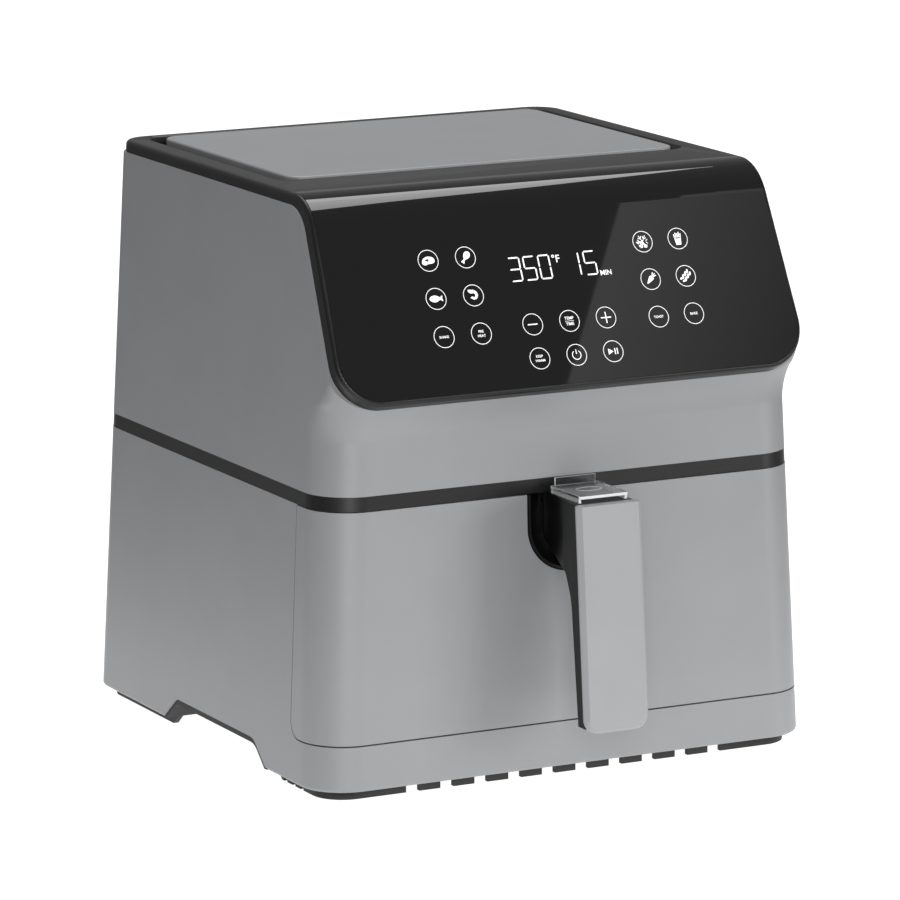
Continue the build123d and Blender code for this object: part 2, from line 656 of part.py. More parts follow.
def bladed_wheel(z, radius, height, blades, hub):
    """A disc with straight blades and a hub that sits on the shaft."""
    wheel = Cylinder(radius, 1.5) + Pos(0, 0, -height / 2) * Cylinder(hub, height)
    for i in range(blades):
        blade = Pos((radius + hub) / 2 + 2, 0, -height / 2) * Box(radius - hub - 6, 1.5, height)
        wheel += Rot(0, 0, 360 / blades * i) * blade
    wheel -= Cylinder(SHAFT_RADIUS, 4 * height)
    return Pos(0, CENTRE_Y, z) * wheel


def convection_fan():
    return bladed_wheel(LINER_TOP - 6, FAN_RADIUS, 14, 8, 10)


def cooling_fan():
    return bladed_wheel(SHIELD_TOP + 18, COOLER_RADIUS, 12, 7, 9)


def hub_nut():
    nut = extrude(RegularPolygon(6.5, 6), 5) - Pos(0, 0, 2.5) * Cylinder(SHAFT_RADIUS, 7)
    return Pos(0, CENTRE_Y, LINER_TOP - 6 - 14 - 5.0) * nut


def fan_motor():
    motor = rod((0, CENTRE_Y, MOTOR_BOTTOM), (0, CENTRE_Y, MOTOR_BOTTOM + MOTOR_HEIGHT), MOTOR_RADIUS)
    motor = chamfer(motor.faces().sort_by(Axis.Z)[-1].edges(), 3.0)
    return motor - rod((0, CENTRE_Y, 0), (0, CENTRE_Y, HEIGHT), SHAFT_RADIUS + SHAFT_GAP)


def motor_bracket():
    """A bridge over the cooling fan that carries the motor."""
    half = COOLER_RADIUS + 8
    deck = block((-half, half), (CENTRE_Y - 24, CENTRE_Y + 24), (MOTOR_BOTTOM - 2, MOTOR_BOTTOM))
    bridge = deck
    for side in (-1, 1):
        x = sorted((side * half, side * (half - 2)))
        bridge += block(x, (CENTRE_Y - 24, CENTRE_Y + 24), (SHIELD_TOP, MOTOR_BOTTOM))
        x = sorted((side * half, side * (half + 12)))
        bridge += block(x, (CENTRE_Y - 24, CENTRE_Y + 24), (SHIELD_TOP, SHIELD_TOP + 2))
    bridge -= rod((0, CENTRE_Y, 0), (0, CENTRE_Y, HEIGHT), 12)
    for x, y in motor_screw_places():
        bridge -= screw_hole((x, y, MOTOR_BOTTOM - 2), (0, 0, -1), 1.5, 8)
    return bridge


def motor_screw_places():
    return [(x, CENTRE_Y + y) for x, y in ((19, 0), (-19, 0))]


def motor_screws():
    return [screw((x, y, MOTOR_BOTTOM - 2), (0, 0, -1), 1.5, 8) for x, y in motor_screw_places()]


def drilled_motor():
    motor = fan_motor()
    for x, y in motor_screw_places():
        motor -= screw_hole((x, y, MOTOR_BOTTOM - 2), (0, 0, -1), 1.5, 8)
    return motor


def power_board():
    return block((-80, 80), (CENTRE_Y + 50, BODY_BACK - 32), (BOARD_Z, BOARD_Z + 1.6))


def board_spacers():
    spacers = []
    for x in (-72, 72):
        for y in (CENTRE_Y + 58, LINER_BACK - 16):
            spacers.append(rod((x, y, SHIELD_TOP), (x, y, BOARD_Z), 3.5))
    return spacers


def board_part(x, y, size):
    top = BOARD_Z + 1.6
    y += CENTRE_Y
    body = block((x, x + size[0]), (y, y + size[1]), (top, top + size[2]))
    return chamfer(body.faces().sort_by(Axis.Z)[-1].edges(), 0.8)


def relay():
    return board_part(-60, 62, (20, 16, 16))


def transformer():
    body = board_part(-22, 60, (32, 28, 18))
    return body + board_part(-26, 68, (40, 12, 24))


def terminal_block():
    body = board_part(30, 64, (36, 14, 14))
    for i in range(3):
        x = 36 + 12 * i
        body -= Pos(x, CENTRE_Y + 71, BOARD_Z + 15) * Cylinder(3, 6)
    return body


def temperature_sensor():
    stem = rod((SENSOR_X, LINER_BACK - 16, SENSOR_Z), (SENSOR_X, LINER_BACK + 6, SENSOR_Z), SENSOR_RADIUS)
    return stem + rod((SENSOR_X, LINER_BACK, SENSOR_Z), (SENSOR_X, LINER_BACK + 4, SENSOR_Z), 5.5)


def thermal_fuse():
    y = CENTRE_Y - 60
    body = block((-12, 12), (y - 5, y + 5), (SHIELD_TOP, SHIELD_TOP + 3))
    return body + rod((-9, y, SHIELD_TOP + 6), (9, y, SHIELD_TOP + 6), 3.4)


def interlock_plunger():
    """The pin that the closed drawer holds in."""
    y = INNER_PANEL_BACK + SLIDE_GAP
    tip = rod((PLUNGER_X, y, PLUNGER_Z), (PLUNGER_X, FRONT_FRAME_BACK + 16, PLUNGER_Z), 2.4)
    collar = FRONT_FRAME_BACK + 5
    return tip + rod((PLUNGER_X, collar, PLUNGER_Z), (PLUNGER_X, collar + 2, PLUNGER_Z), 3.4)


def door_switch():
    """A housing behind the front frame that the plunger runs in."""
    y = (FRONT_FRAME_BACK, FRONT_FRAME_BACK + 26)
    body = block((PLUNGER_X - 5.5, PLUNGER_X + 6.5), y, (PLUNGER_Z - 9, PLUNGER_Z + 9))
    body -= rod((PLUNGER_X, y[0] - 1, PLUNGER_Z), (PLUNGER_X, y[0] + 12, PLUNGER_Z), 4.0)
    return body - rod((PLUNGER_X, y[0], PLUNGER_Z), (PLUNGER_X, y[0] + 20, PLUNGER_Z), 2.4 + SHAFT_GAP)


# ------------------------------------------------------------------ drawer

def front_bosses():
    x = BASE_WIDTH / 2 - 24.0
    return [(sx * x, z) for sx in (-1, 1) for z in (DRAWER_BOTTOM + 16, BAND_BOTTOM - 20)]


def u_shape(radius, low_y, high_y, top=None):
    """A slot shape with a round bottom, run along Y: the cup's outline."""
    top = BAND_BOTTOM + 20 if top is None else top
    centre = CUP_CENTRE_Z
    straight = block((-radius, radius), (low_y, high_y), (centre, top))
    return straight + rod((0, low_y, centre), (0, high_y, centre), radius)


def drawer_front():
    """The drawer's face, wrapped round both front corners."""
    outer = taper(SHELL_BOTTOM + 5, BAND_BOTTOM)
    shell = (outer - taper(SHELL_BOTTOM, BAND_BOTTOM + 5, WALL)) & drawer_space(SEAM_GAP)
    room = taper(SHELL_BOTTOM + 5, BAND_BOTTOM, WALL / 2)
    for x, z in front_bosses():
        shell += rod((x, BODY_FRONT, z), (x, INNER_PANEL_FRONT, z), 4.5) & room
        shell -= screw_hole((x, INNER_PANEL_BACK, z), (0, 1, 0), 1.5, 12)
    return shell - u_shape(CUP_RADIUS, -FAR, CUP_BACK + 5)


def recess_cup():
    """The dish behind the handle's neck, let into the drawer front."""
    radius = CUP_RADIUS - 0.6
    cup = u_shape(radius, BODY_FRONT - 5, CUP_BACK, BAND_BOTTOM - TOP_GAP)
    cup &= taper(SHELL_BOTTOM, BAND_BOTTOM)
    hollow = u_shape(radius - CUP_WALL, BODY_FRONT - 15, CUP_BACK - CUP_WALL)
    back = hollow.faces().sort_by(Axis.Y)[-1]
    cup -= fillet([e for e in back.edges() if e.center().Z < BAND_BOTTOM + 15], CUP_HOLLOW)
    through = (CUP_BACK - 9, CUP_BACK + 1)
    post = CUP_CENTRE_Z - 10
    cup -= block((-LATCH_HALF - 1, LATCH_HALF + 1), through, (LATCH_NOSE_Z - 3, LATCH_NOSE_Z + 6))
    for side in (-1, 1):
        x = sorted((side * (PRONG_LOW - 1), side * (PRONG_HIGH + 1)))
        cup -= block(x, through, (BRACKET_Z - 1, BRACKET_Z + 3))
        cup += rod((side * 13, CUP_BACK - 1, post), (side * 13, INNER_PANEL_FRONT, post), 3.5)
    return cup


def inner_panel():
    """The plate that closes the drawer front; the pan is fixed to it."""
    plate = taper(DRAWER_BOTTOM + 1.5, PAN_TOP + 0.6, WALL + FIT)
    plate &= block((-FAR, FAR), (INNER_PANEL_FRONT, INNER_PANEL_BACK), (0, HEIGHT))
    for x, z in front_bosses():
        plate -= screw_hole((x, INNER_PANEL_BACK, z), (0, 1, 0), 1.5, 12)
    return plate


def drawer_screws():
    return [screw((x, INNER_PANEL_BACK, z), (0, 1, 0), 1.5, 12) for x, z in front_bosses()]


def open_box(half, y, z, wall, corner):
    """A tray with upright rounded corners and a rounded foot."""
    outer = block((-half, half), y, z)
    outer = fillet(outer.edges().filter_by(Axis.Z), corner)
    outer = fillet(outer.faces().sort_by(Axis.Z)[0].edges(), 8.0)
    inner = block((-half + wall, half - wall), (y[0] + wall, y[1] - wall), (z[0] + wall, z[1] + 20))
    inner = fillet(inner.edges().filter_by(Axis.Z), corner - wall)
    inner = fillet(inner.faces().sort_by(Axis.Z)[0].edges(), 8.0 - wall)
    return outer - inner


def outer_pan():
    return open_box(PAN_WIDTH / 2, (PAN_FRONT, PAN_BACK), (PAN_BOTTOM, PAN_TOP), PAN_WALL, PAN_CORNER)


def inner_basket():
    """The basket that holds the food; its floor is perforated."""
    basket = open_box(BASKET_HALF, BASKET_Y, (BASKET_BOTTOM, BASKET_TOP), PAN_WALL, PAN_CORNER - 5)
    pitch = 22.0
    across_count = int((BASKET_HALF - 20) // pitch)
    along_count = int(((BASKET_Y[1] - BASKET_Y[0]) / 2 - 20) // pitch)
    holes = []
    for i in range(-across_count, across_count + 1):
        for j in range(-along_count, along_count + 1):
            place = (i * pitch, CENTRE_Y + j * pitch, BASKET_BOTTOM)
            holes.append(Pos(*place) * Cylinder(4.0, 8))
    return basket - holes


def basket_bumpers():
    """Silicone feet that keep the basket off the pan's floor."""
    low = PAN_BOTTOM + PAN_WALL
    places = [(sx * (BASKET_HALF - 35), CENTRE_Y + sy * 68) for sx in (-1, 1) for sy in (-1, 1)]
    return [rod((x, y, low), (x, y, BASKET_BOTTOM), 5.0) for x, y in places]


def basket_bracket():
    """The forked steel strip that joins the neck to the basket, over the pan's edge."""
    back = BASKET_Y[0]
    start = NECK_BACK - 2.7
    bracket = block((-PRONG_HIGH, PRONG_HIGH), (back - 1.6, back), (BASKET_TOP - 30, BRACKET_Z + 1.6))
    for side in (-1, 1):
        x = sorted((side * PRONG_LOW, side * PRONG_HIGH))
        bracket += block(x, (start, back), (BRACKET_Z, BRACKET_Z + 1.6))
    return bracket


# ------------------------------------------------------------------ handle

def handle_face_y(z, behind=0.0):
    """The handle's front face leans out towards its lower end."""
    reach = BODY_FRONT - HANDLE_REACH
    return reach + HANDLE_FLARE * (z - HANDLE_BOTTOM) / (HANDLE_TOP - HANDLE_BOTTOM) + behind


def handle_cover():
    z = (HANDLE_BOTTOM, HANDLE_TOP)
    points = [(handle_face_y(z[0]), z[0]), (handle_face_y(z[1]), z[1]),
              (handle_face_y(z[1], COVER_THICKNESS), z[1]), (handle_face_y(z[0], COVER_THICKNESS), z[0])]
    cover = across(side_profile(points), -HANDLE_WIDTH / 2, HANDLE_WIDTH / 2)
    low = cover.edges().filter_by(lambda e: abs(e.tangent_at(0.5).Y) > 0.9).sort_by(Axis.Z)[:2]
    cover = fillet(low, 8.0)
    face = cover.faces().sort_by(Axis.Y)[0]
    cover = chamfer(face.edges(), 2.4)
    for z in handle_screw_levels():
        seat = (0, handle_back_y(z) - SCREW_SINK, z)
        cover -= screw_hole(seat, (0, 1, 0), 1.5, arm_thickness(z) - SCREW_SINK + 4)
    return cover


def arm_thickness(z):
    share = (z - HANDLE_BOTTOM) / (HANDLE_TOP - HANDLE_BOTTOM)
    return ARM_TIP_THICKNESS + (ARM_THICKNESS - ARM_TIP_THICKNESS) * share


def handle_back_y(z):
    return handle_face_y(z, COVER_THICKNESS + arm_thickness(z))


def handle_screw_levels():
    return (HANDLE_BOTTOM + 20, HANDLE_BOTTOM + 64)


def handle_screws():
    screws = []
    for z in handle_screw_levels():
        seat = (0, handle_back_y(z) - SCREW_SINK, z)
        screws.append(screw(seat, (0, 1, 0), 1.5, arm_thickness(z) - SCREW_SINK + 4))
    return screws


def neck_outline():
    """The neck from above: it narrows towards the cup."""
    half, back_half = NECK_WIDTH / 2, NECK_BACK_WIDTH / 2
    wide = BODY_FRONT - NECK_TAPER_START
    points = [(-half, -FAR), (half, -FAR), (half, wide), (back_half, NECK_BACK), (-back_half, NECK_BACK),
              (-half, wide)]
    return extrude(make_face(Polyline(*points, close=True)), HEIGHT)


def handle_arm():
    """The black neck and grip behind the cover, with room inside for the release."""
    low = HANDLE_BOTTOM + 2
    start = NECK_BACK
    step = (BODY_FRONT - 1.5, BAND_BOTTOM - 2 * TOP_GAP)
    bend = CUP_CENTRE_Z - 32.0
    back = handle_back_y(bend)
    shoulder = (back + 7, CUP_CENTRE_Z - 18.0)
    grip = [(start, step[1]), step, (step[0], NECK_TOP), (handle_face_y(NECK_TOP, COVER_THICKNESS), NECK_TOP),
            (handle_face_y(low, COVER_THICKNESS), low), (handle_back_y(low), low), (back, bend),
            shoulder, (start - 13, CUP_CENTRE_Z - 12.3), (start, CUP_CENTRE_Z - 9.0)]
    face = side_profile(grip, [((back, bend), 40.0), (shoulder, 6.0)])
    neck = across(face, -NECK_WIDTH / 2, NECK_WIDTH / 2) & neck_outline()
    neck -= button_well()
    slot = LATCH_HALF + SLIDE_GAP
    neck -= block((-slot, slot), (PIVOT_Y - 15.6, CUP_BACK), (PIVOT_Z - 6.5, LATCH_NOSE_Z + 9))
    neck -= rod((-PIN_HALF, PIVOT_Y, PIVOT_Z), (PIN_HALF, PIVOT_Y, PIVOT_Z), 1.5)
    for side in (-1, 1):
        x = sorted((side * PRONG_LOW, side * PRONG_HIGH))
        neck -= block(x, (start - 2.7, start + 1), (BRACKET_Z, BRACKET_Z + 1.6))
    for z in handle_screw_levels():
        seat = (0, handle_back_y(z) - SCREW_SINK, z)
        neck -= rod(seat, (0, seat[1] + 20, z), 3.4)
        neck -= screw_hole(seat, (0, 1, 0), 1.5, arm_thickness(z) - SCREW_SINK + 4)
    return neck


def oval(width, depth, y, low, high):
    """An upright solid with a round-ended outline."""
    shape = Pos(0, y, low) * SlotOverall(width, depth)
    return extrude(shape, high - low)


def button_well():
    """The room for the button, its stem and its spring in the neck."""
    length = BUTTON_LENGTH + 2 * SLIDE_GAP
    width = BUTTON_WIDTH + 2 * SLIDE_GAP
    well = oval(length, width, BUTTON_Y, BUTTON_UNDER - BUTTON_TRAVEL - 1, NECK_TOP + 1)
    well += rod((0, SPRING_Y, SPRING_LOW), (0, SPRING_Y, NECK_TOP - 5), SPRING_RADIUS + 0.4)
    well += block((-2.5 - SLIDE_GAP, 2.5 + SLIDE_GAP), (STEM_Y - 1.0 - SLIDE_GAP, STEM_Y + 1.0 + SLIDE_GAP),
                  (PIVOT_Z, NECK_TOP - 5))
    return well


def release_button():
    button = oval(BUTTON_LENGTH, BUTTON_WIDTH, BUTTON_Y, BUTTON_UNDER, NECK_TOP + 1.2)
    button = fillet(button.faces().sort_by(Axis.Z)[-1].edges(), 1.0)
    stem = block((-2.5, 2.5), (STEM_Y - 1, STEM_Y + 1), (PIVOT_Z + 8.6, BUTTON_UNDER))
    return button + stem


def button_spring():
    """A stand-in tube with the coil spring's outside and inside diameters."""
    outer = rod((0, SPRING_Y, SPRING_LOW), (0, SPRING_Y, BUTTON_UNDER), SPRING_RADIUS)
    return outer - rod((0, SPRING_Y, SPRING_LOW - 1), (0, SPRING_Y, BUTTON_UNDER + 1), 1.9)


def latch_lever():
    """A bell crank: the button pushes its front arm down and its nose leaves the window in the cup."""
    y = PIVOT_Y
    z = PIVOT_Z
    nose_y = CUP_BACK - 0.2
    points = [(y - 13.0, z + 8.0), (y - 13.0, z + 4.5), (y - 3.0, z - 4.0), (y + 5.0, z - 4.0),
              (y + 10.5, z + 8.5), (nose_y, LATCH_NOSE_Z), (nose_y, LATCH_NOSE_Z + 3.0),
              (y + 6.0, LATCH_NOSE_Z + 3.0), (y + 2.0, z + 5.5), (y - 8.0, z + 5.5)]
    lever = across(side_profile(points), -LATCH_HALF, LATCH_HALF)
    return lever - rod((-9, y, z), (9, y, z), 1.5 + SHAFT_GAP)


def latch_pin():
    return rod((-PIN_HALF, PIVOT_Y, PIVOT_Z), (PIN_HALF, PIVOT_Y, PIVOT_Z), 1.5)


def button_guard():
    """The clear slide over the button: a flat top on two rails, with a thumb tab at the back."""
    low = NECK_TOP + SLIDE_GAP + 0.1
    y = (handle_face_y(NECK_TOP) + 6.8, BUTTON_Y + 8.5)
    top = block((-14.5, 14.5), y, (low + 2.3, low + 3.8))
    top = fillet(top.edges().filter_by(Axis.Z), 1.5)
    for side in (-1, 1):
        x = sorted((side * 13.0, side * 14.5))
        top += block(x, (y[0] + 1.5, y[1] - 1.5), (low, low + 2.5))
    return top + block((-12, 12), (y[1] - 2.0, y[1] - 0.6), (low + 2, low + 8))


# ------------------------------------------------------------------ output

NODES = {
    "under_tray": under_tray, "rubber_feet": rubber_feet, "base_screws": base_screws,
    "lower_shell": lower_shell, "cord_gland": cord_gland, "middle_band": middle_band,
    "upper_shell": upper_shell, "vent_grille": vent_grille, "control_glass": control_glass,
    "top_frame": top_frame, "top_plate": top_plate, "touch_board": touch_board,
    "display_module": display_module, "buzzer": buzzer, "front_frame": front_frame,
    "cavity_liner": cavity_liner, "exhaust_duct": exhaust_duct, "drawer_rails": drawer_rails,
    "heat_shield": heat_shield, "heating_element": heating_element, "element_clips": element_clips,
    "heater_guard": heater_guard, "rotor_shaft": rotor_shaft, "convection_fan": convection_fan,
    "cooling_fan": cooling_fan, "hub_nut": hub_nut, "fan_motor": drilled_motor,
    "motor_bracket": motor_bracket, "motor_screws": motor_screws, "power_board": power_board,
    "board_spacers": board_spacers, "relay": relay, "transformer": transformer,
    "terminal_block": terminal_block, "temperature_sensor": temperature_sensor,
    "thermal_fuse": thermal_fuse, "interlock_plunger": interlock_plunger, "door_switch": door_switch,
    "drawer_front": drawer_front, "recess_cup": recess_cup, "inner_panel": inner_panel,
    "drawer_screws": drawer_screws, "outer_pan": outer_pan, "inner_basket": inner_basket,
    "basket_bumpers": basket_bumpers, "basket_bracket": basket_bracket, "handle_cover": handle_cover,
    "handle_arm": handle_arm, "handle_screws": handle_screws, "release_button": release_button,
    "button_spring": button_spring, "latch_lever": latch_lever, "latch_pin": latch_pin,
    "button_guard": button_guard,
}


def write_all():
    os.makedirs("parts", exist_ok=True)
    for name, make in NODES.items():
        made = make()
        shape = Compound(children=made) if isinstance(made, list) else made
        export_step(shape, f"parts/{name}.step")
        print(name, len(shape.solids()), "solids")


write_all()
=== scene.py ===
# %% [markdown]
# # A drawer air fryer
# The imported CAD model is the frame: every shell, shaft and screw already has its place and its size.
# This script gives those pieces their finishes, redraws the ones whose look needs more than a CAD
# solid gives, and adds the marks on the panel. Everything is in metres.

# %% Load the frame
import bmesh
import bpy
import json
from math import cos, pi, radians, sin
from mathutils import Matrix, Vector


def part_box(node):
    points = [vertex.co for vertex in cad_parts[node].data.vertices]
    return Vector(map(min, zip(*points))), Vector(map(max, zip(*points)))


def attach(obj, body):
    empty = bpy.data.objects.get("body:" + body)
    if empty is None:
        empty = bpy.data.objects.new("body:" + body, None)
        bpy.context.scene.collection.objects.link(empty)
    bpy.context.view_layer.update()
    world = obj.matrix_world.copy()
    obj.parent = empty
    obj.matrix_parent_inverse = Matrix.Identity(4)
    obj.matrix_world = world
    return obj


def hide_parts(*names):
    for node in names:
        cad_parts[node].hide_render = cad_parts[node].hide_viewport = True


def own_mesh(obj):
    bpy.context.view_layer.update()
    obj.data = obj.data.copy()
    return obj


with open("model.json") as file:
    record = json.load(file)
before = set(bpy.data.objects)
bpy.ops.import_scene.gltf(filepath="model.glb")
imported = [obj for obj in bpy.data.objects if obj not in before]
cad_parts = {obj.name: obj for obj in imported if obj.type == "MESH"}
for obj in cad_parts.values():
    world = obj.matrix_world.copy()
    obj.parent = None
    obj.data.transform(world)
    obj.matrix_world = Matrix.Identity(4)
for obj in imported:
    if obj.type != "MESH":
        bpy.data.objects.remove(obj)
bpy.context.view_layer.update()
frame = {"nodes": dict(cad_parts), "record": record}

# %% Small helpers
MM = 0.001
NODES = frame["nodes"]
BODY_OF = {node: body for body, members in frame["record"]["behaviour"]["bodies"].items() for node in members}


def linear(hex_colour, alpha=1.0):
    """An sRGB hex value as the linear colour that shaders work in."""
    values = [int(hex_colour[i:i + 2], 16) / 255 for i in (1, 3, 5)]
    return [v / 12.92 if v <= 0.04045 else ((v + 0.055) / 1.055) ** 2.4 for v in values] + [alpha]


def add_node(tree, kind, links=None, **settings):
    """Adds a node. A setting is a property, a socket's name, or its number as in_0; links feed sockets."""
    node = tree.nodes.new(kind)
    for name, value in settings.items():
        if name.startswith("in_"):
            node.inputs[int(name[3:])].default_value = value
        elif hasattr(node, name):
            setattr(node, name, value)
        else:
            node.inputs[name.replace("_", " ")].default_value = value
    for socket, source in (links or {}).items():
        tree.links.new(source, node.inputs[socket])
    return node


# %% [markdown]
# ## Camera, floor and light
# A long lens from front left, a little above the top of the drawer, as product pictures are taken:
# the long lens keeps the body's upright edges nearly parallel.

# %% Camera
AZIMUTH = radians(-26.87)
ELEVATION = radians(11.30)
CAMERA_DISTANCE = 3.270
AIM = Vector((0.0, 0.0263, 0.1573))

towards_camera = Vector((sin(AZIMUTH) * cos(ELEVATION), -cos(AZIMUTH) * cos(ELEVATION), sin(ELEVATION)))
camera_data = bpy.data.cameras.new("camera")
camera = bpy.data.objects.new("camera", camera_data)
bpy.context.scene.collection.objects.link(camera)
camera.location = AIM + towards_camera * CAMERA_DISTANCE
roll = Matrix.Rotation(radians(-0.28), 4, "Z")
camera.rotation_euler = (towards_camera.to_track_quat("Z", "Y").to_matrix().to_4x4() @ roll).to_euler()
camera_data.sensor_width = 36.0
camera_data.lens = 236.0
camera_data.shift_x = 0.0056
camera_data.shift_y = -0.0100
camera_data.clip_end = 50.0
bpy.context.scene.camera = camera
print("camera at", [round(v, 3) for v in camera.location])

# %% [markdown]
# A pale floor and three soft lights: a key from the front right, a taller one from the front left that
# fills the side of each rounded corner, and a broad one from above. None of them stands where the gloss
# panel would mirror it; what the panel does mirror is a card of its own, placed further down.

# %% Floor and lights
floor_mesh = bpy.data.meshes.new("floor")
floor_mesh.from_pydata([(-9, -9, 0), (9, -9, 0), (9, 9, 0), (-9, 9, 0)], [], [(0, 1, 2, 3)])
floor = bpy.data.objects.new("floor", floor_mesh)
bpy.context.scene.collection.objects.link(floor)

floor_paint = bpy.data.materials.new("matt_white_floor")
floor_paint.use_nodes = True
floor_shader = floor_paint.node_tree.nodes["Principled BSDF"]
floor_shader.inputs["Base Color"].default_value = linear("#8a8a8a")
floor_shader.inputs["Roughness"].default_value = 0.9
floor_shader.inputs["Emission Color"].default_value = linear("#ffffff")

# It glows in a lane along the view, wider towards the back, so that the ground is an even white and
# the floor beside the object stays dim enough not to light its sides from below
LANE_HALF, LANE_FADED, LANE_FLARE = 0.30, 0.60, 0.09
floor_tree = floor_paint.node_tree
lane_place = add_node(floor_tree, "ShaderNodeTexCoord").outputs["Object"]
lane_turn = add_node(floor_tree, "ShaderNodeMapping", {"Vector": lane_place}, vector_type="POINT")
lane_turn.inputs["Rotation"].default_value = (0, 0, -AZIMUTH)
lane_axes = add_node(floor_tree, "ShaderNodeSeparateXYZ", {"Vector": lane_turn.outputs["Vector"]})
lane_side = add_node(floor_tree, "ShaderNodeMath", {0: lane_axes.outputs["X"]}, operation="ABSOLUTE")
lane_flare = add_node(floor_tree, "ShaderNodeMath", {0: lane_axes.outputs["Y"], 2: lane_side.outputs[0]},
                      operation="MULTIPLY_ADD", in_1=-LANE_FLARE)
lane_edge = add_node(floor_tree, "ShaderNodeMapRange", {"Value": lane_flare.outputs[0]},
                     interpolation_type="SMOOTHSTEP", From_Min=LANE_HALF, From_Max=LANE_FADED, To_Min=1.0,
                     To_Max=0.0)
floor_tree.links.new(lane_edge.outputs["Result"], floor_shader.inputs["Emission Strength"])
floor_mesh.materials.append(floor_paint)

world = bpy.data.worlds.new("studio")
bpy.context.scene.world = world
world.use_nodes = True
world.node_tree.nodes["Background"].inputs["Color"].default_value = linear("#ffffff")
world.node_tree.nodes["Background"].inputs["Strength"].default_value = 0.30


def soft_light(name, direction, distance, size, power):
    """A rectangular light that faces the middle of the object."""
    data = bpy.data.lights.new(name, "AREA")
    data.shape = "RECTANGLE"
    data.size, data.size_y = size
    data.energy = power
    light = bpy.data.objects.new(name, data)
    bpy.context.scene.collection.objects.link(light)
    way = Vector(direction).normalized()
    light.location = AIM + way * distance
    light.rotation_euler = way.to_track_quat("Z", "Y").to_euler()


soft_light("right_key", (0.90, -1.0, 0.10), 3.4, (1.3, 1.8), 60.0)
soft_light("left_key", (-0.42, -1.0, 0.22), 3.4, (1.2, 2.0), 50.0)
soft_light("top_light", (0.1, 0.30, 1.0), 3.0, (2.4, 2.0), 68.0)
bpy.context.scene.view_settings.view_transform = "Standard"

# %% [markdown]
# ## Materials
# Each finish starts from the real thing. Most of this object is injection-moulded ABS. What the eye
# gets from it is a soft, slightly broken highlight: the mould is spark eroded, so the skin has a fine
# grain, about a third of a millimetre across, and a faint unevenness over some centimetres.

# %% Moulded plastics
def new_material(name):
    material = bpy.data.materials.new(name)
    material.use_nodes = True
    tree = material.node_tree
    return material, tree, tree.nodes["Principled BSDF"]


def grained(name, base, spread, roughness, grain_mm=0.35, bump=0.03, ior=1.53, cloud_mm=40.0):
    """Moulded plastic: a fine grain in the bump, and a slow drift of tone and of roughness."""
    material, tree, shader = new_material(name)
    place = add_node(tree, "ShaderNodeTexCoord").outputs["Object"]
    cloud = add_node(tree, "ShaderNodeTexNoise", {"Vector": place}, Scale=1 / (cloud_mm * MM), Detail=3.0)
    tone = add_node(tree, "ShaderNodeValToRGB", {"Fac": cloud.outputs["Fac"]})
    tone.color_ramp.elements[0].color = linear(base)
    tone.color_ramp.elements[1].color = linear(spread)
    tone.color_ramp.elements[0].position = 0.3
    tone.color_ramp.elements[1].position = 0.7
    grain = add_node(tree, "ShaderNodeTexNoise", {"Vector": place}, Scale=1 / (grain_mm * MM), Detail=2.0)
    rough = add_node(tree, "ShaderNodeMapRange", {"Value": grain.outputs["Fac"]}, To_Min=roughness - 0.05,
                     To_Max=roughness + 0.07)
    relief = add_node(tree, "ShaderNodeBump", {"Height": grain.outputs["Fac"]}, Strength=bump,
                      Distance=0.1 * MM)
    tree.links.new(tone.outputs["Color"], shader.inputs["Base Color"])
    tree.links.new(rough.outputs["Result"], shader.inputs["Roughness"])
    tree.links.new(relief.outputs["Normal"], shader.inputs["Normal"])
    shader.inputs["IOR"].default_value = ior
    return material


# ABS in the body's grey, satin: a broad soft highlight along each rounded corner
GREY_ABS = grained("satin_grey_abs", "#8a8b8d", "#8d8e90", 0.40)
# The same ABS, a shade darker, on the top plate
PLATE_ABS = grained("satin_plate_abs", "#8b8c8e", "#8e8f91", 0.38)
# The handle cover is lighter and a little glossier, from a polished mould
COVER_ABS = grained("handle_abs", "#949597", "#97989a", 0.34)
# Black ABS: band, frame, neck and cup, with a sheen on the edges
BLACK_ABS = grained("satin_black_abs", "#0b0b0b", "#0d0d0d", 0.36, ior=1.46)
# Rougher black polypropylene of the base tray
BLACK_PP = grained("matt_black_polypropylene", "#0d0d0d", "#101010", 0.60, grain_mm=0.6, bump=0.06)
# Mid-grey acetal of small moving parts, waxy and smooth
ACETAL = grained("grey_acetal", "#4b4c4e", "#505153", 0.32, grain_mm=0.5, bump=0.01, ior=1.48)
# White nylon of the terminal block, faintly yellow
NYLON = grained("natural_nylon", "#d8d3c2", "#e0dccd", 0.45, ior=1.53)
# Feet and cord gland: rubber, dark and dull, with a coarse bloom
RUBBER = grained("black_rubber", "#151515", "#1c1c1c", 0.75, grain_mm=0.8, bump=0.10, ior=1.52, cloud_mm=12.0)
# Food-safe silicone of the basket's feet, softer in tone than rubber
SILICONE = grained("grey_silicone", "#3a3b3c", "#414243", 0.6, grain_mm=0.5, bump=0.02, ior=1.41)
print(len(bpy.data.materials), "materials so far")


# %% [markdown]
# The control panel is polycarbonate sheet, printed black on its back and hard coated in front. The eye
# sees two layers: a deep black ground and, above it, an even, sharp mirror with hardly any texture.

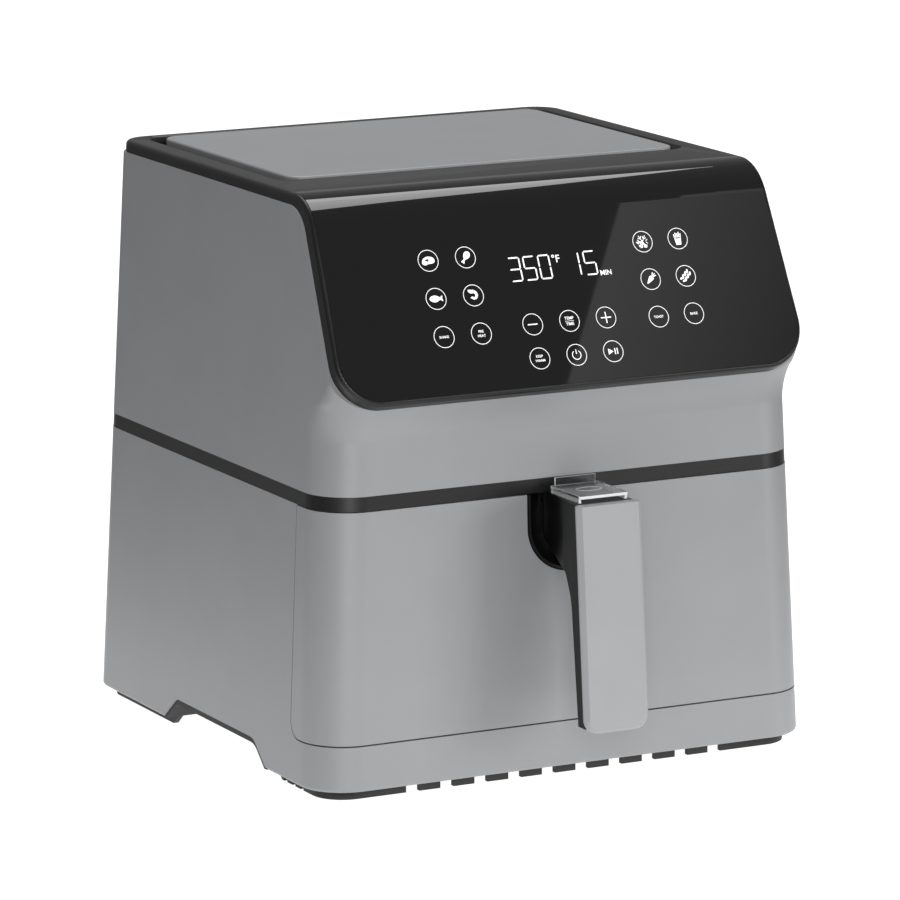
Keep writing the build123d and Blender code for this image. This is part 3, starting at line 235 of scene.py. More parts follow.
# %% Gloss panel and clear plastic
def gloss_sheet():
    material, tree, shader = new_material("hard_coated_polycarbonate")
    place = add_node(tree, "ShaderNodeTexCoord").outputs["Object"]
    haze = add_node(tree, "ShaderNodeTexNoise", {"Vector": place}, Scale=1 / (25 * MM), Detail=4.0)
    rough = add_node(tree, "ShaderNodeMapRange", {"Value": haze.outputs["Fac"]}, To_Min=0.010, To_Max=0.020)
    tone = add_node(tree, "ShaderNodeValToRGB", {"Fac": haze.outputs["Fac"]})
    tone.color_ramp.elements[0].color = linear("#0b0b0b")
    tone.color_ramp.elements[1].color = linear("#0e0e0e")
    tree.links.new(tone.outputs["Color"], shader.inputs["Base Color"])
    tree.links.new(rough.outputs["Result"], shader.inputs["Roughness"])
    shader.inputs["IOR"].default_value = 1.50
    return material


def clear_sheet():
    """Clear polycarbonate of the button guard: it shows by its bright edges."""
    material, tree, shader = new_material("clear_polycarbonate")
    place = add_node(tree, "ShaderNodeTexCoord").outputs["Object"]
    flow = add_node(tree, "ShaderNodeTexNoise", {"Vector": place}, Scale=1 / (6 * MM), Detail=1.0)
    rough = add_node(tree, "ShaderNodeMapRange", {"Value": flow.outputs["Fac"]}, To_Min=0.03, To_Max=0.08)
    tree.links.new(rough.outputs["Result"], shader.inputs["Roughness"])
    shader.inputs["Base Color"].default_value = linear("#f4f5f6")
    shader.inputs["IOR"].default_value = 1.58
    shader.inputs["Transmission Weight"].default_value = 1.0
    return material


GLOSS_PANEL = gloss_sheet()
CLEAR_GUARD = clear_sheet()
# Painted highlight: near-white on the guard's edges and thumb mark, where light leaves the clear plastic
GUARD_EDGE_HIGHLIGHT = grained("guard_edge_painted_highlight", "#e4e5e6", "#eceded", 0.25, grain_mm=0.2, bump=0.02,
                   ior=1.58)


def print_ink():
    """The marks are white print lit from behind: bright, with the faint unevenness of a diffuser."""
    material, tree, shader = new_material("backlit_white_print")
    place = add_node(tree, "ShaderNodeTexCoord").outputs["Object"]
    patch = add_node(tree, "ShaderNodeTexNoise", {"Vector": place}, Scale=1 / (9 * MM), Detail=1.0)
    glow = add_node(tree, "ShaderNodeMapRange", {"Value": patch.outputs["Fac"]}, To_Min=0.45, To_Max=0.60)
    tree.links.new(glow.outputs["Result"], shader.inputs["Emission Strength"])
    shader.inputs["Emission Color"].default_value = linear("#f4f7fa")
    shader.inputs["Base Color"].default_value = linear("#e8e8e8")
    shader.inputs["Roughness"].default_value = 0.5
    return material


PRINT_WHITE = print_ink()


# %% [markdown]
# Inside, the metals. Sheet steel is rolled, so fine lines run along one way; turned steel has rings
# round its axis; the pan and basket wear a speckled non-stick coating.

# %% Metals, coating and circuit board
def brushed(name, base, spread, roughness, line_mm=0.25, stretch=40.0, axis=0):
    """Rolled or drawn metal: noise stretched along one axis."""
    material, tree, shader = new_material(name)
    place = add_node(tree, "ShaderNodeTexCoord").outputs["Object"]
    squeeze = [1.0, 1.0, 1.0]
    squeeze[axis] = 1 / stretch
    lay = add_node(tree, "ShaderNodeMapping", {"Vector": place}, Scale=squeeze)
    lines = add_node(tree, "ShaderNodeTexNoise", {"Vector": lay.outputs["Vector"]}, Scale=1 / (line_mm * MM),
                     Detail=2.0)
    tone = add_node(tree, "ShaderNodeValToRGB", {"Fac": lines.outputs["Fac"]})
    tone.color_ramp.elements[0].color = linear(base)
    tone.color_ramp.elements[1].color = linear(spread)
    rough = add_node(tree, "ShaderNodeMapRange", {"Value": lines.outputs["Fac"]}, To_Min=roughness - 0.08,
                     To_Max=roughness + 0.10)
    relief = add_node(tree, "ShaderNodeBump", {"Height": lines.outputs["Fac"]}, Strength=0.08,
                      Distance=0.05 * MM)
    tree.links.new(tone.outputs["Color"], shader.inputs["Base Color"])
    tree.links.new(rough.outputs["Result"], shader.inputs["Roughness"])
    tree.links.new(relief.outputs["Normal"], shader.inputs["Normal"])
    shader.inputs["Metallic"].default_value = 1.0
    return material


# Aluminised steel sheet of the chamber, shield, duct and brackets
SHEET_STEEL = brushed("aluminised_steel", "#9a9a98", "#b8b8b5", 0.38)
# Zinc-plated screws, pins and springs
ZINC = brushed("zinc_plated_steel", "#a3a5a8", "#c3c5c9", 0.30, line_mm=0.15, stretch=6.0, axis=2)
# The element's steel tube, browned by heat
HOT_STEEL = brushed("heat_tinted_steel", "#4a4038", "#6b6058", 0.42, line_mm=0.4, stretch=8.0)
# Pressed aluminium of the two fan wheels
ALUMINIUM = brushed("pressed_aluminium", "#bcbdbf", "#d3d4d5", 0.33)
# The motor's plated can
MOTOR_STEEL = brushed("plated_motor_can", "#6e7073", "#83858a", 0.36, axis=2)


def non_stick():
    """PTFE coating: charcoal, satin, with pale specks about a millimetre apart."""
    material, tree, shader = new_material("speckled_non_stick")
    place = add_node(tree, "ShaderNodeTexCoord").outputs["Object"]
    cells = add_node(tree, "ShaderNodeTexVoronoi", {"Vector": place}, Scale=1 / (1.2 * MM))
    tone = add_node(tree, "ShaderNodeValToRGB", {"Fac": cells.outputs["Distance"]})
    tone.color_ramp.elements[0].color = linear("#5a5a5c")
    tone.color_ramp.elements[0].position = 0.05
    tone.color_ramp.elements[1].color = linear("#2b2b2d")
    tone.color_ramp.elements[1].position = 0.16
    relief = add_node(tree, "ShaderNodeBump", {"Height": cells.outputs["Distance"]}, Strength=0.05,
                      Distance=0.1 * MM)
    tree.links.new(tone.outputs["Color"], shader.inputs["Base Color"])
    tree.links.new(relief.outputs["Normal"], shader.inputs["Normal"])
    shader.inputs["Roughness"].default_value = 0.42
    shader.inputs["IOR"].default_value = 1.38
    return material


def solder_mask():
    """Green solder mask over copper: square-cornered tracks show as a slightly lighter green."""
    material, tree, shader = new_material("green_solder_mask")
    place = add_node(tree, "ShaderNodeTexCoord").outputs["Object"]
    tracks = add_node(tree, "ShaderNodeTexBrick", {"Vector": place}, Scale=1 / (14 * MM))
    tracks.inputs["Color1"].default_value = linear("#1f5a35")
    tracks.inputs["Color2"].default_value = linear("#1b4f2f")
    tracks.inputs["Mortar"].default_value = linear("#2f7a49")
    tree.links.new(tracks.outputs["Color"], shader.inputs["Base Color"])
    shader.inputs["Roughness"].default_value = 0.35
    return material


NON_STICK = non_stick()
SOLDER_MASK = solder_mask()
print(len(bpy.data.materials), "materials")

# %% [markdown]
# ## Pieces that keep their CAD shape
# Most pieces already have the right form, but a CAD mesh is loose triangles, which would show every
# facet of a rounded corner. A copy is welded, its flat faces are joined again, and its normals are
# weighted by face size, so curves shade as curves and flats stay flat. The copy stands for the node.

# %% Refine the CAD nodes
FINISH_OF_SLOT = {
    "grey_abs": GREY_ABS, "plate_abs": PLATE_ABS, "black_abs": BLACK_ABS, "tray_abs": BLACK_PP,
    "gloss_panel": GLOSS_PANEL, "clear_plastic": CLEAR_GUARD, "button_plastic": ACETAL, "rubber": RUBBER,
    "silicone": SILICONE, "coated_steel": NON_STICK, "plated_steel": SHEET_STEEL,
    "element_steel": HOT_STEEL, "fan_aluminium": ALUMINIUM, "turned_steel": ZINC,
    "motor_steel": MOTOR_STEEL, "board": SOLDER_MASK, "component_plastic": BLACK_PP,
    "terminal_nylon": NYLON, "sensor": SHEET_STEEL, "latch_acetal": ACETAL,
}
SLOT_OF_NODE = {part["node"]: part["material_slot"] for part in frame["record"]["subparts"]}


def finish_of(node):
    return COVER_ABS if node == "handle_cover" else FINISH_OF_SLOT[SLOT_OF_NODE[node]]


def add_piece(name, mesh, material, body, replaces=()):
    """Puts a finished mesh into the scene: it rides on its body and stands for the nodes it replaces."""
    mesh.materials.clear()
    mesh.materials.append(material)
    piece = bpy.data.objects.new(name, mesh)
    bpy.context.scene.collection.objects.link(piece)
    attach(piece, body)
    if replaces:
        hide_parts(*replaces)
    return piece


LONGEST_LOOP = 60


def welded_copy(node, weld_mm=0.002, flat_degrees=0.4):
    """The node's mesh with its triangles joined into one skin and its flat faces whole again."""
    mesh = NODES[node].data.copy()
    shape = bmesh.new()
    shape.from_mesh(mesh)
    bmesh.ops.remove_doubles(shape, verts=shape.verts, dist=weld_mm * MM)
    bmesh.ops.dissolve_limit(shape, angle_limit=radians(flat_degrees), verts=shape.verts, edges=shape.edges)
    bmesh.ops.triangulate(shape, faces=[f for f in shape.faces if len(f.verts) > LONGEST_LOOP])
    shape.to_mesh(mesh)
    shape.free()
    return mesh


def smooth_by_angle(mesh, degrees):
    """Soft shading everywhere but over edges sharper than the angle."""
    mesh.polygons.foreach_set("use_smooth", [True] * len(mesh.polygons))
    mesh.set_sharp_from_angle(angle=radians(degrees))


REDRAWN = ["button_spring", "convection_fan", "cooling_fan", "heater_guard"]
SHARP_CAD, SHARP_WIRE, SHARP_WHEEL = 32, 40, 35
pieces = {}
for node in NODES:
    if node in REDRAWN:
        continue
    mesh = welded_copy(node)
    smooth_by_angle(mesh, SHARP_CAD)
    piece = add_piece(node + "_skin", mesh, finish_of(node), BODY_OF[node], [node])
    weigh = piece.modifiers.new("even_normals", "WEIGHTED_NORMAL")
    weigh.keep_sharp = True
    weigh.weight = 80
    pieces[node] = piece
print(len(pieces), "nodes refined;", sum(len(p.data.polygons) for p in pieces.values()), "faces")

# %% [markdown]
# Clear plastic sends light out at its edges: the guard's narrow faces carry a painted highlight, an
# opaque near-white, and its broad ones stay clear. A face counts as narrow by its area, in square metres.

# %% The guard's bright edges
NARROW_FLAT, NARROW_UPRIGHT = 60e-6, 100e-6
lid_mesh = pieces["button_guard"].data
lid_mesh.materials.append(GUARD_EDGE_HIGHLIGHT)
for face in lid_mesh.polygons:
    narrow = NARROW_FLAT if abs(face.normal.z) > 0.5 else NARROW_UPRIGHT
    if face.area < narrow and face.normal.z > -0.5:
        face.material_index = 1
print(sum(f.material_index for f in lid_mesh.polygons), "faces with the painted edge highlight on the guard")

# %% [markdown]
# The guard carries a raised oval where the thumb pushes it: a thin closed ring on its top face, which
# lies lower than the tab behind it.

# %% The guard's thumb mark
OVAL_HALF_X, OVAL_HALF_Y, OVAL_LINE, OVAL_SEAT, OVAL_RISE, OVAL_STEPS = 7.5, 4.6, 0.45, 0.01, 0.12, 64
TAB_RISE = 4.2
lid_low, lid_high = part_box("button_guard")
oval_mid = (lid_low + lid_high) / 2
lid = lid_high.z - TAB_RISE * MM
oval_points, oval_faces = [], []
for i in range(OVAL_STEPS):
    turn = 2 * pi * i / OVAL_STEPS
    for inset, rise in ((0, OVAL_SEAT), (0, OVAL_RISE), (OVAL_LINE, OVAL_RISE), (OVAL_LINE, OVAL_SEAT)):
        oval_points.append((oval_mid.x + (OVAL_HALF_X - inset) * cos(turn) * MM,
                            oval_mid.y + (OVAL_HALF_Y - inset) * sin(turn) * MM, lid + rise * MM))
    ahead = (i + 1) % OVAL_STEPS
    for k in range(4):
        oval_faces.append((4 * i + k, 4 * ahead + k, 4 * ahead + (k + 1) % 4, 4 * i + (k + 1) % 4))
oval_mesh = bpy.data.meshes.new("guard_thumb_mark")
oval_mesh.from_pydata(oval_points, [], oval_faces)
smooth_by_angle(oval_mesh, SHARP_WIRE)
# The ring takes the painted highlight too: near-white, for light leaving the clear plastic at its edges
add_piece("guard_thumb_mark", oval_mesh, GUARD_EDGE_HIGHLIGHT, BODY_OF["button_guard"])
print("thumb mark", 2 * OVAL_HALF_X, "by", 2 * OVAL_HALF_Y, "mm")

# %% [markdown]
# ## Pieces that repeat, by Geometry Nodes
# A spring is one wire that follows a rule, a fan is one blade turned round a hub, a guard is rings and
# spokes. Each is a small node tree with named inputs, evaluated once and kept as a plain mesh.

# %% A small kit for node trees
def geometry_tree(name, inputs):
    """A new tree with named float inputs, in metres or counts, and a geometry output."""
    tree = bpy.data.node_groups.new(name, "GeometryNodeTree")
    tree.interface.new_socket(name="Geometry", in_out="INPUT", socket_type="NodeSocketGeometry")
    for label, kind in inputs:
        tree.interface.new_socket(name=label, in_out="INPUT", socket_type=kind)
    tree.interface.new_socket(name="Geometry", in_out="OUTPUT", socket_type="NodeSocketGeometry")
    return tree, tree.nodes.new("NodeGroupInput"), tree.nodes.new("NodeGroupOutput")


def grown_mesh(name, tree, values, points=()):
    """Runs a tree on an object of loose points, or none, and returns the plain mesh that it makes."""
    seed = bpy.data.meshes.new(name + "_seed")
    seed.from_pydata(points, [], [])
    holder = bpy.data.objects.new(name + "_holder", seed)
    bpy.context.scene.collection.objects.link(holder)
    grow = holder.modifiers.new("grow", "NODES")
    grow.node_group = tree
    for item in tree.interface.items_tree:
        if item.in_out == "INPUT" and item.name in values:
            grow[item.identifier] = values[item.name]
    bpy.context.view_layer.update()
    evaluated = holder.evaluated_get(bpy.context.evaluated_depsgraph_get())
    mesh = bpy.data.meshes.new_from_object(evaluated)
    mesh.name = name
    bpy.data.objects.remove(holder)
    return mesh


def finish_tree(tree, output, geometry, material):
    """Every tree ends in real geometry with its material set."""
    real = add_node(tree, "GeometryNodeRealizeInstances", {"Geometry": geometry})
    paint = add_node(tree, "GeometryNodeSetMaterial", {"Geometry": real.outputs["Geometry"]})
    paint.inputs["Material"].default_value = material
    tree.links.new(paint.outputs["Geometry"], output.inputs["Geometry"])


def centre_of(node):
    low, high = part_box(node)
    return (low + high) / 2


# %% [markdown]
# The release button stands on a coil spring: steel wire wound on a rod. A spiral curve with a round
# profile gives exactly that; a stack of rings would not climb.

# %% Button spring
FLOAT, INT = "NodeSocketFloat", "NodeSocketInt"
tree, given, output = geometry_tree("coil_spring", [("Radius", FLOAT), ("Height", FLOAT), ("Turns", FLOAT),
                                                    ("Wire", FLOAT)])
helix = add_node(tree, "GeometryNodeCurveSpiral", {"Rotations": given.outputs["Turns"],
                 "Start Radius": given.outputs["Radius"], "End Radius": given.outputs["Radius"],
                 "Height": given.outputs["Height"]}, Resolution=20)
section = add_node(tree, "GeometryNodeCurvePrimitiveCircle", {"Radius": given.outputs["Wire"]}, Resolution=10)
wire = add_node(tree, "GeometryNodeCurveToMesh", {"Curve": helix.outputs["Curve"],
                "Profile Curve": section.outputs["Curve"]})
wire.inputs["Fill Caps"].default_value = True
finish_tree(tree, output, wire.outputs["Mesh"], ZINC)

spring_low, spring_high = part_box("button_spring")
WIRE_RADIUS, SPRING_TURNS, BUTTON_TRAVEL = 0.35 * MM, 6.0, 3.0 * MM
spring_radius = (spring_high.x - spring_low.x) / 2 - WIRE_RADIUS
spring_height = spring_high.z - spring_low.z
spring_mesh = grown_mesh("button_spring_coil", tree, {
    "Radius": spring_radius, "Height": spring_height - 2 * WIRE_RADIUS, "Turns": SPRING_TURNS,
    "Wire": WIRE_RADIUS})
spring_mid = centre_of("button_spring")
spring_mesh.transform(Matrix.Translation((spring_mid.x, spring_mid.y, spring_low.z + WIRE_RADIUS)))
smooth_by_angle(spring_mesh, SHARP_WIRE)
spring = add_piece("button_spring_coil", spring_mesh, ZINC, BODY_OF["button_spring"],
                   ["button_spring"])
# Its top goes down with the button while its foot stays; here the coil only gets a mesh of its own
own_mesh(spring)
print("spring: 6 turns, radius", round(spring_radius / MM, 2), "mm")

# %% [markdown]
# Both fan wheels are stamped from one aluminium disc: the blades are bent up and swept back. One bent
# blade is built as a grid, curved by its distance from the hub, and repeated round the axis.

# %% Fan wheels
tree, given, output = geometry_tree("fan_wheel", [("Radius", FLOAT), ("Hub", FLOAT), ("Height", FLOAT),
                                                  ("Blades", INT), ("Sweep", FLOAT), ("Plate", FLOAT)])
ring = add_node(tree, "GeometryNodeCurvePrimitiveCircle", {"Radius": given.outputs["Plate"]})
tree.links.new(given.outputs["Blades"], ring.inputs["Resolution"])
span = add_node(tree, "ShaderNodeMath", operation="SUBTRACT")
tree.links.new(given.outputs["Radius"], span.inputs[0])
tree.links.new(given.outputs["Hub"], span.inputs[1])
blade = add_node(tree, "GeometryNodeMeshGrid", {"Size X": span.outputs[0], "Size Y": given.outputs["Height"]},
                 Vertices_X=14, Vertices_Y=2)
place = add_node(tree, "GeometryNodeInputPosition")
parts = add_node(tree, "ShaderNodeSeparateXYZ", {"Vector": place.outputs["Position"]})
share = add_node(tree, "ShaderNodeMath", operation="DIVIDE")
tree.links.new(parts.outputs["X"], share.inputs[0])
tree.links.new(span.outputs[0], share.inputs[1])
square = add_node(tree, "ShaderNodeMath", {0: share.outputs[0]}, operation="POWER", in_1=2.0)
bow = add_node(tree, "ShaderNodeMath", {0: square.outputs[0], 1: given.outputs["Sweep"]},
               operation="MULTIPLY")
middle = add_node(tree, "ShaderNodeMath", operation="ADD")
tree.links.new(given.outputs["Radius"], middle.inputs[0])
tree.links.new(given.outputs["Hub"], middle.inputs[1])
half = add_node(tree, "ShaderNodeMath", {0: middle.outputs[0]}, operation="MULTIPLY", in_1=0.5)
out_x = add_node(tree, "ShaderNodeMath", {0: parts.outputs["X"], 1: half.outputs[0]}, operation="ADD")
upright = add_node(tree, "ShaderNodeCombineXYZ", {"X": out_x.outputs[0], "Y": bow.outputs[0],
                   "Z": parts.outputs["Y"]})
bent = add_node(tree, "GeometryNodeSetPosition", {"Geometry": blade.outputs["Mesh"],
                "Position": upright.outputs["Vector"]})
count = add_node(tree, "ShaderNodeMath", operation="DIVIDE", in_0=2 * pi)
tree.links.new(given.outputs["Blades"], count.inputs[1])
index = add_node(tree, "GeometryNodeInputIndex")
turn = add_node(tree, "ShaderNodeMath", {0: index.outputs[0], 1: count.outputs[0]}, operation="MULTIPLY")
about = add_node(tree, "ShaderNodeCombineXYZ", {"Z": turn.outputs[0]})
seats = add_node(tree, "GeometryNodeMeshLine", {"Count": given.outputs["Blades"]})
seats.inputs["Offset"].default_value = (0, 0, 0)
copies = add_node(tree, "GeometryNodeInstanceOnPoints", {"Points": seats.outputs["Mesh"],
                  "Instance": bent.outputs["Geometry"], "Rotation": about.outputs["Vector"]})
finish_tree(tree, output, copies.outputs["Instances"], ALUMINIUM)


def lathe(profile, steps=64):
    """A closed ring turned from (radius, z) points, in metres."""
    shape = bmesh.new()
    rows = []
    for i in range(steps):
        angle = 2 * pi * i / steps
        rows.append([shape.verts.new((r * cos(angle), r * sin(angle), z)) for r, z in profile])
    for i in range(steps):
        near, far = rows[i], rows[(i + 1) % steps]
        for j in range(len(profile)):
            k = (j + 1) % len(profile)
            shape.faces.new((near[j], far[j], far[k], near[k]))
    bmesh.ops.recalc_face_normals(shape, faces=shape.faces)
    return shape


DISC, BLADE_SHEET, DISC_CHAMFER = 1.5 * MM, 1.0 * MM, 0.3 * MM
RIM_GAP, HUB_GAP = 2 * MM, 4 * MM


def fan_mesh(name, node, blades, sweep_mm, hub_mm):
    """Blades from the tree, with their thickness, on a turned disc and hub."""
    low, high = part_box(node)
    radius = (high.x - low.x) / 2
    top = high.z - DISC
    height = top - low.z
    mesh = grown_mesh(name, tree, {"Radius": radius - RIM_GAP, "Hub": hub_mm * MM + HUB_GAP, "Height": height,
                                   "Blades": blades, "Sweep": sweep_mm * MM, "Plate": radius})
    shape = bmesh.new()
    shape.from_mesh(mesh)
    bmesh.ops.translate(shape, verts=shape.verts, vec=(0, 0, low.z + height / 2))
    bmesh.ops.solidify(shape, geom=shape.faces, thickness=BLADE_SHEET)
    blades_done = bpy.data.meshes.new(name + "_blades")
    shape.to_mesh(blades_done)
    shaft_low, shaft_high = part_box("rotor_shaft")
    bore = (shaft_high.x - shaft_low.x) / 2
    shape = lathe([(bore, low.z), (hub_mm * MM, low.z), (hub_mm * MM, top), (radius, top),
                   (radius, high.z - DISC_CHAMFER), (radius - DISC_CHAMFER, high.z), (bore, high.z)])
    shape.from_mesh(blades_done)
    shape.to_mesh(mesh)
    shape.free()
    middle = centre_of(node)
    mesh.transform(Matrix.Translation((middle.x, middle.y, 0)))
    smooth_by_angle(mesh, SHARP_WHEEL)
    return add_piece(name, mesh, ALUMINIUM, BODY_OF[node], [node])


fan_mesh("convection_fan_wheel", "convection_fan", 8, 26.0, 10.0)
fan_mesh("cooling_fan_wheel", "cooling_fan", 7, 16.0, 9.0)
print("two fan wheels")

# %% [markdown]
# A round-wire guard keeps hands off the element: rings of steel wire, welded to spokes. The tree
# repeats a ring for each step of radius and turns one straight wire round the middle.

# %% Heater guard
tree, given, output = geometry_tree("wire_guard", [("Inner", FLOAT), ("Outer", FLOAT), ("Rings", INT),
                                                   ("Spokes", INT), ("Wire", FLOAT)])
section = add_node(tree, "GeometryNodeCurvePrimitiveCircle", {"Radius": given.outputs["Wire"]}, Resolution=10)
unit = add_node(tree, "GeometryNodeCurvePrimitiveCircle", Resolution=96, Radius=1.0)
seats = add_node(tree, "GeometryNodeMeshLine", {"Count": given.outputs["Rings"]})
seats.inputs["Offset"].default_value = (0, 0, 0)
index = add_node(tree, "GeometryNodeInputIndex")
last = add_node(tree, "ShaderNodeMath", {0: given.outputs["Rings"]}, operation="SUBTRACT", in_1=1.0)
radius = add_node(tree, "ShaderNodeMapRange", {"Value": index.outputs[0], "From Max": last.outputs[0],
                  "To Min": given.outputs["Inner"], "To Max": given.outputs["Outer"]})
grow = add_node(tree, "GeometryNodeInstanceOnPoints", {"Points": seats.outputs["Mesh"],
                "Instance": unit.outputs["Curve"], "Scale": radius.outputs["Result"]})
rings = add_node(tree, "GeometryNodeRealizeInstances", {"Geometry": grow.outputs["Instances"]})
ring_wire = add_node(tree, "GeometryNodeCurveToMesh", {"Curve": rings.outputs["Geometry"],
                     "Profile Curve": section.outputs["Curve"]})
start = add_node(tree, "ShaderNodeCombineXYZ", {"X": given.outputs["Inner"]})
end = add_node(tree, "ShaderNodeCombineXYZ", {"X": given.outputs["Outer"]})
line = add_node(tree, "GeometryNodeCurvePrimitiveLine", {"Start": start.outputs["Vector"],
                "End": end.outputs["Vector"]})
line_wire = add_node(tree, "GeometryNodeCurveToMesh", {"Curve": line.outputs["Curve"],
                     "Profile Curve": section.outputs["Curve"]})
line_wire.inputs["Fill Caps"].default_value = True
spoke_seats = add_node(tree, "GeometryNodeMeshLine", {"Count": given.outputs["Spokes"]})
spoke_seats.inputs["Offset"].default_value = (0, 0, 0)
step = add_node(tree, "ShaderNodeMath", operation="DIVIDE", in_0=2 * pi)
tree.links.new(given.outputs["Spokes"], step.inputs[1])
angle = add_node(tree, "ShaderNodeMath", {0: index.outputs[0], 1: step.outputs[0]}, operation="MULTIPLY")
about = add_node(tree, "ShaderNodeCombineXYZ", {"Z": angle.outputs[0]})
spokes = add_node(tree, "GeometryNodeInstanceOnPoints", {"Points": spoke_seats.outputs["Mesh"],
                  "Instance": line_wire.outputs["Mesh"], "Rotation": about.outputs["Vector"]})
both = add_node(tree, "GeometryNodeJoinGeometry")
tree.links.new(ring_wire.outputs["Mesh"], both.inputs["Geometry"])
tree.links.new(spokes.outputs["Instances"], both.inputs["Geometry"])
finish_tree(tree, output, both.outputs["Geometry"], HOT_STEEL)

guard_low, guard_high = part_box("heater_guard")
GUARD_WIRE = (guard_high.z - guard_low.z) / 2
GUARD_INNER = 33.3 * MM
guard_mesh = grown_mesh("heater_guard_wires", tree, {
    "Inner": GUARD_INNER, "Outer": (guard_high.x - guard_low.x) / 2 - GUARD_WIRE, "Rings": 3, "Spokes": 6,
    "Wire": GUARD_WIRE})
guard_mesh.transform(Matrix.Translation(centre_of("heater_guard")))
smooth_by_angle(guard_mesh, SHARP_WIRE)
add_piece("heater_guard_wires", guard_mesh, HOT_STEEL, BODY_OF["heater_guard"],
          ["heater_guard"])
print("guard: 3 rings, 6 spokes")

# %% [markdown]
# ## Marks on the panel
# The marks lie on a slanted plane, so they are drawn flat first, in millimetres from the panel's lower
# edge, and one matrix then lays them on the glass.

# %% The panel's plane
PANEL_LEAN = radians(25.64)
GLASS_EDGE = 2.2 * MM
GLASS_THICKNESS = 2.0 * MM
glass_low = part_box("control_glass")[0]
up_panel = Vector((0, sin(PANEL_LEAN), cos(PANEL_LEAN)))
off_panel = Vector((0, -cos(PANEL_LEAN), sin(PANEL_LEAN)))
glass_foot = Vector((0, glass_low.y, glass_low.z + GLASS_THICKNESS * sin(PANEL_LEAN)))
MARKS_RIGHT = 0.8
panel_origin = glass_foot - up_panel * GLASS_EDGE + Vector((MARKS_RIGHT * MM, 0, 0))
ON_PANEL = Matrix.Translation(panel_origin) @ Matrix((
    (1, 0, 0), (0, up_panel.y, off_panel.y), (0, up_panel.z, off_panel.z))).to_4x4()
INK_GAP, INK_THICKNESS = 0.03, 0.04
print("panel origin", [round(v / MM, 2) for v in panel_origin], "mm")

# %% [markdown]
# The panel is a mirror: it shows what stands where a view of it goes once the panel has turned it. A
# glowing card stands there with a slanted edge. To the left of that edge the panel stays black, to the
# right it turns dark grey and fades. The edge is placed by mirroring two points of the panel.

# %% The card that the panel mirrors
CARD_REACH, CARD_WIDTH, CARD_BELOW, CARD_ABOVE = 3.8, 1.7, -1.0, 2.2
CARD_FADED, CARD_BRIGHT, CARD_DIM = 0.26, 1.05, 0.42
EDGE_FOOT, EDGE_HEAD = (-10.4, 0), (37.0, 90)


def mirrored(x, y):
    """Where the view of a panel point, in millimetres, has gone to once the panel has turned it."""
    point = ON_PANEL @ Vector((x * MM, y * MM, 0))
    view = (point - camera.location).normalized()
    return point + (view - 2 * view.dot(off_panel) * off_panel) * CARD_REACH


edge_low, edge_high = mirrored(*EDGE_FOOT), mirrored(*EDGE_HEAD)
edge_way = (edge_high - edge_low).normalized()
card_out = (edge_low - panel_origin).normalized()
card_side = edge_way.cross(card_out).normalized()
card_mesh = bpy.data.meshes.new("card")
card_mesh.from_pydata([(0, CARD_BELOW, 0), (CARD_WIDTH, CARD_BELOW, 0), (CARD_WIDTH, CARD_ABOVE, 0),
                       (0, CARD_ABOVE, 0)], [], [(0, 1, 2, 3)])
card = bpy.data.objects.new("card", card_mesh)
bpy.context.scene.collection.objects.link(card)
card_turn = Matrix((card_side, edge_way, card_out)).transposed().to_4x4()
card.matrix_world = Matrix.Translation(edge_low) @ card_turn
card_paint = bpy.data.materials.new("card_glow")
card_paint.use_nodes = True
card_tree = card_paint.node_tree
card_place = add_node(card_tree, "ShaderNodeTexCoord").outputs["Object"]
card_axes = add_node(card_tree, "ShaderNodeSeparateXYZ", {"Vector": card_place})
card_fade = add_node(card_tree, "ShaderNodeMapRange", {"Value": card_axes.outputs["X"]},
                     From_Max=CARD_FADED, To_Min=CARD_BRIGHT, To_Max=CARD_DIM)
card_light = add_node(card_tree, "ShaderNodeEmission", {"Strength": card_fade.outputs["Result"]})
card_tree.links.new(card_light.outputs["Emission"], card_tree.nodes["Material Output"].inputs["Surface"])
card_mesh.materials.append(card_paint)
print("card edge from", [round(v, 2) for v in edge_low], "to", [round(v, 2) for v in edge_high])

# %% [markdown]
# Every touch field has a thin ring: one tree puts the same ring on each of the 18 places.

# %% Touch rings
RING_RADIUS, RING_STROKE = 5.8, 0.34
LEFT_X, RIGHT_X, MIDDLE_X = (-75.0, -53.0), (53.5, 75.0), (-22.0, 0.0, 22.0)
SIDE_ROWS, UPPER_ROW, LOWER_ROW = (75.9, 54.9, 33.9), 36.2, 17.4
fields = [(x, y) for y in SIDE_ROWS for x in LEFT_X + RIGHT_X]
fields += [(x, y) for y in (UPPER_ROW, LOWER_ROW) for x in MIDDLE_X]

tree, given, output = geometry_tree("touch_rings", [("Radius", FLOAT), ("Stroke", FLOAT), ("Height", FLOAT)])
circle = add_node(tree, "GeometryNodeCurvePrimitiveCircle", {"Radius": given.outputs["Radius"]},
                  Resolution=72)
slab = add_node(tree, "GeometryNodeCurvePrimitiveQuadrilateral", {"Width": given.outputs["Stroke"],
                "Height": given.outputs["Height"]})
hoop = add_node(tree, "GeometryNodeCurveToMesh", {"Curve": circle.outputs["Curve"],
                "Profile Curve": slab.outputs["Curve"]})
copies = add_node(tree, "GeometryNodeInstanceOnPoints", {"Points": given.outputs["Geometry"],
                  "Instance": hoop.outputs["Mesh"]})
finish_tree(tree, output, copies.outputs["Instances"], PRINT_WHITE)
ring_height = INK_GAP + INK_THICKNESS / 2
ring_mesh = grown_mesh("touch_rings", tree, {"Radius": RING_RADIUS * MM, "Stroke": RING_STROKE * MM,
                       "Height": INK_THICKNESS * MM}, [(x * MM, y * MM, ring_height * MM) for x, y in fields])
ring_mesh.transform(ON_PANEL)
add_piece("touch_rings", ring_mesh, PRINT_WHITE, BODY_OF["control_glass"])
print(len(fields), "touch rings,", len(ring_mesh.polygons), "faces")

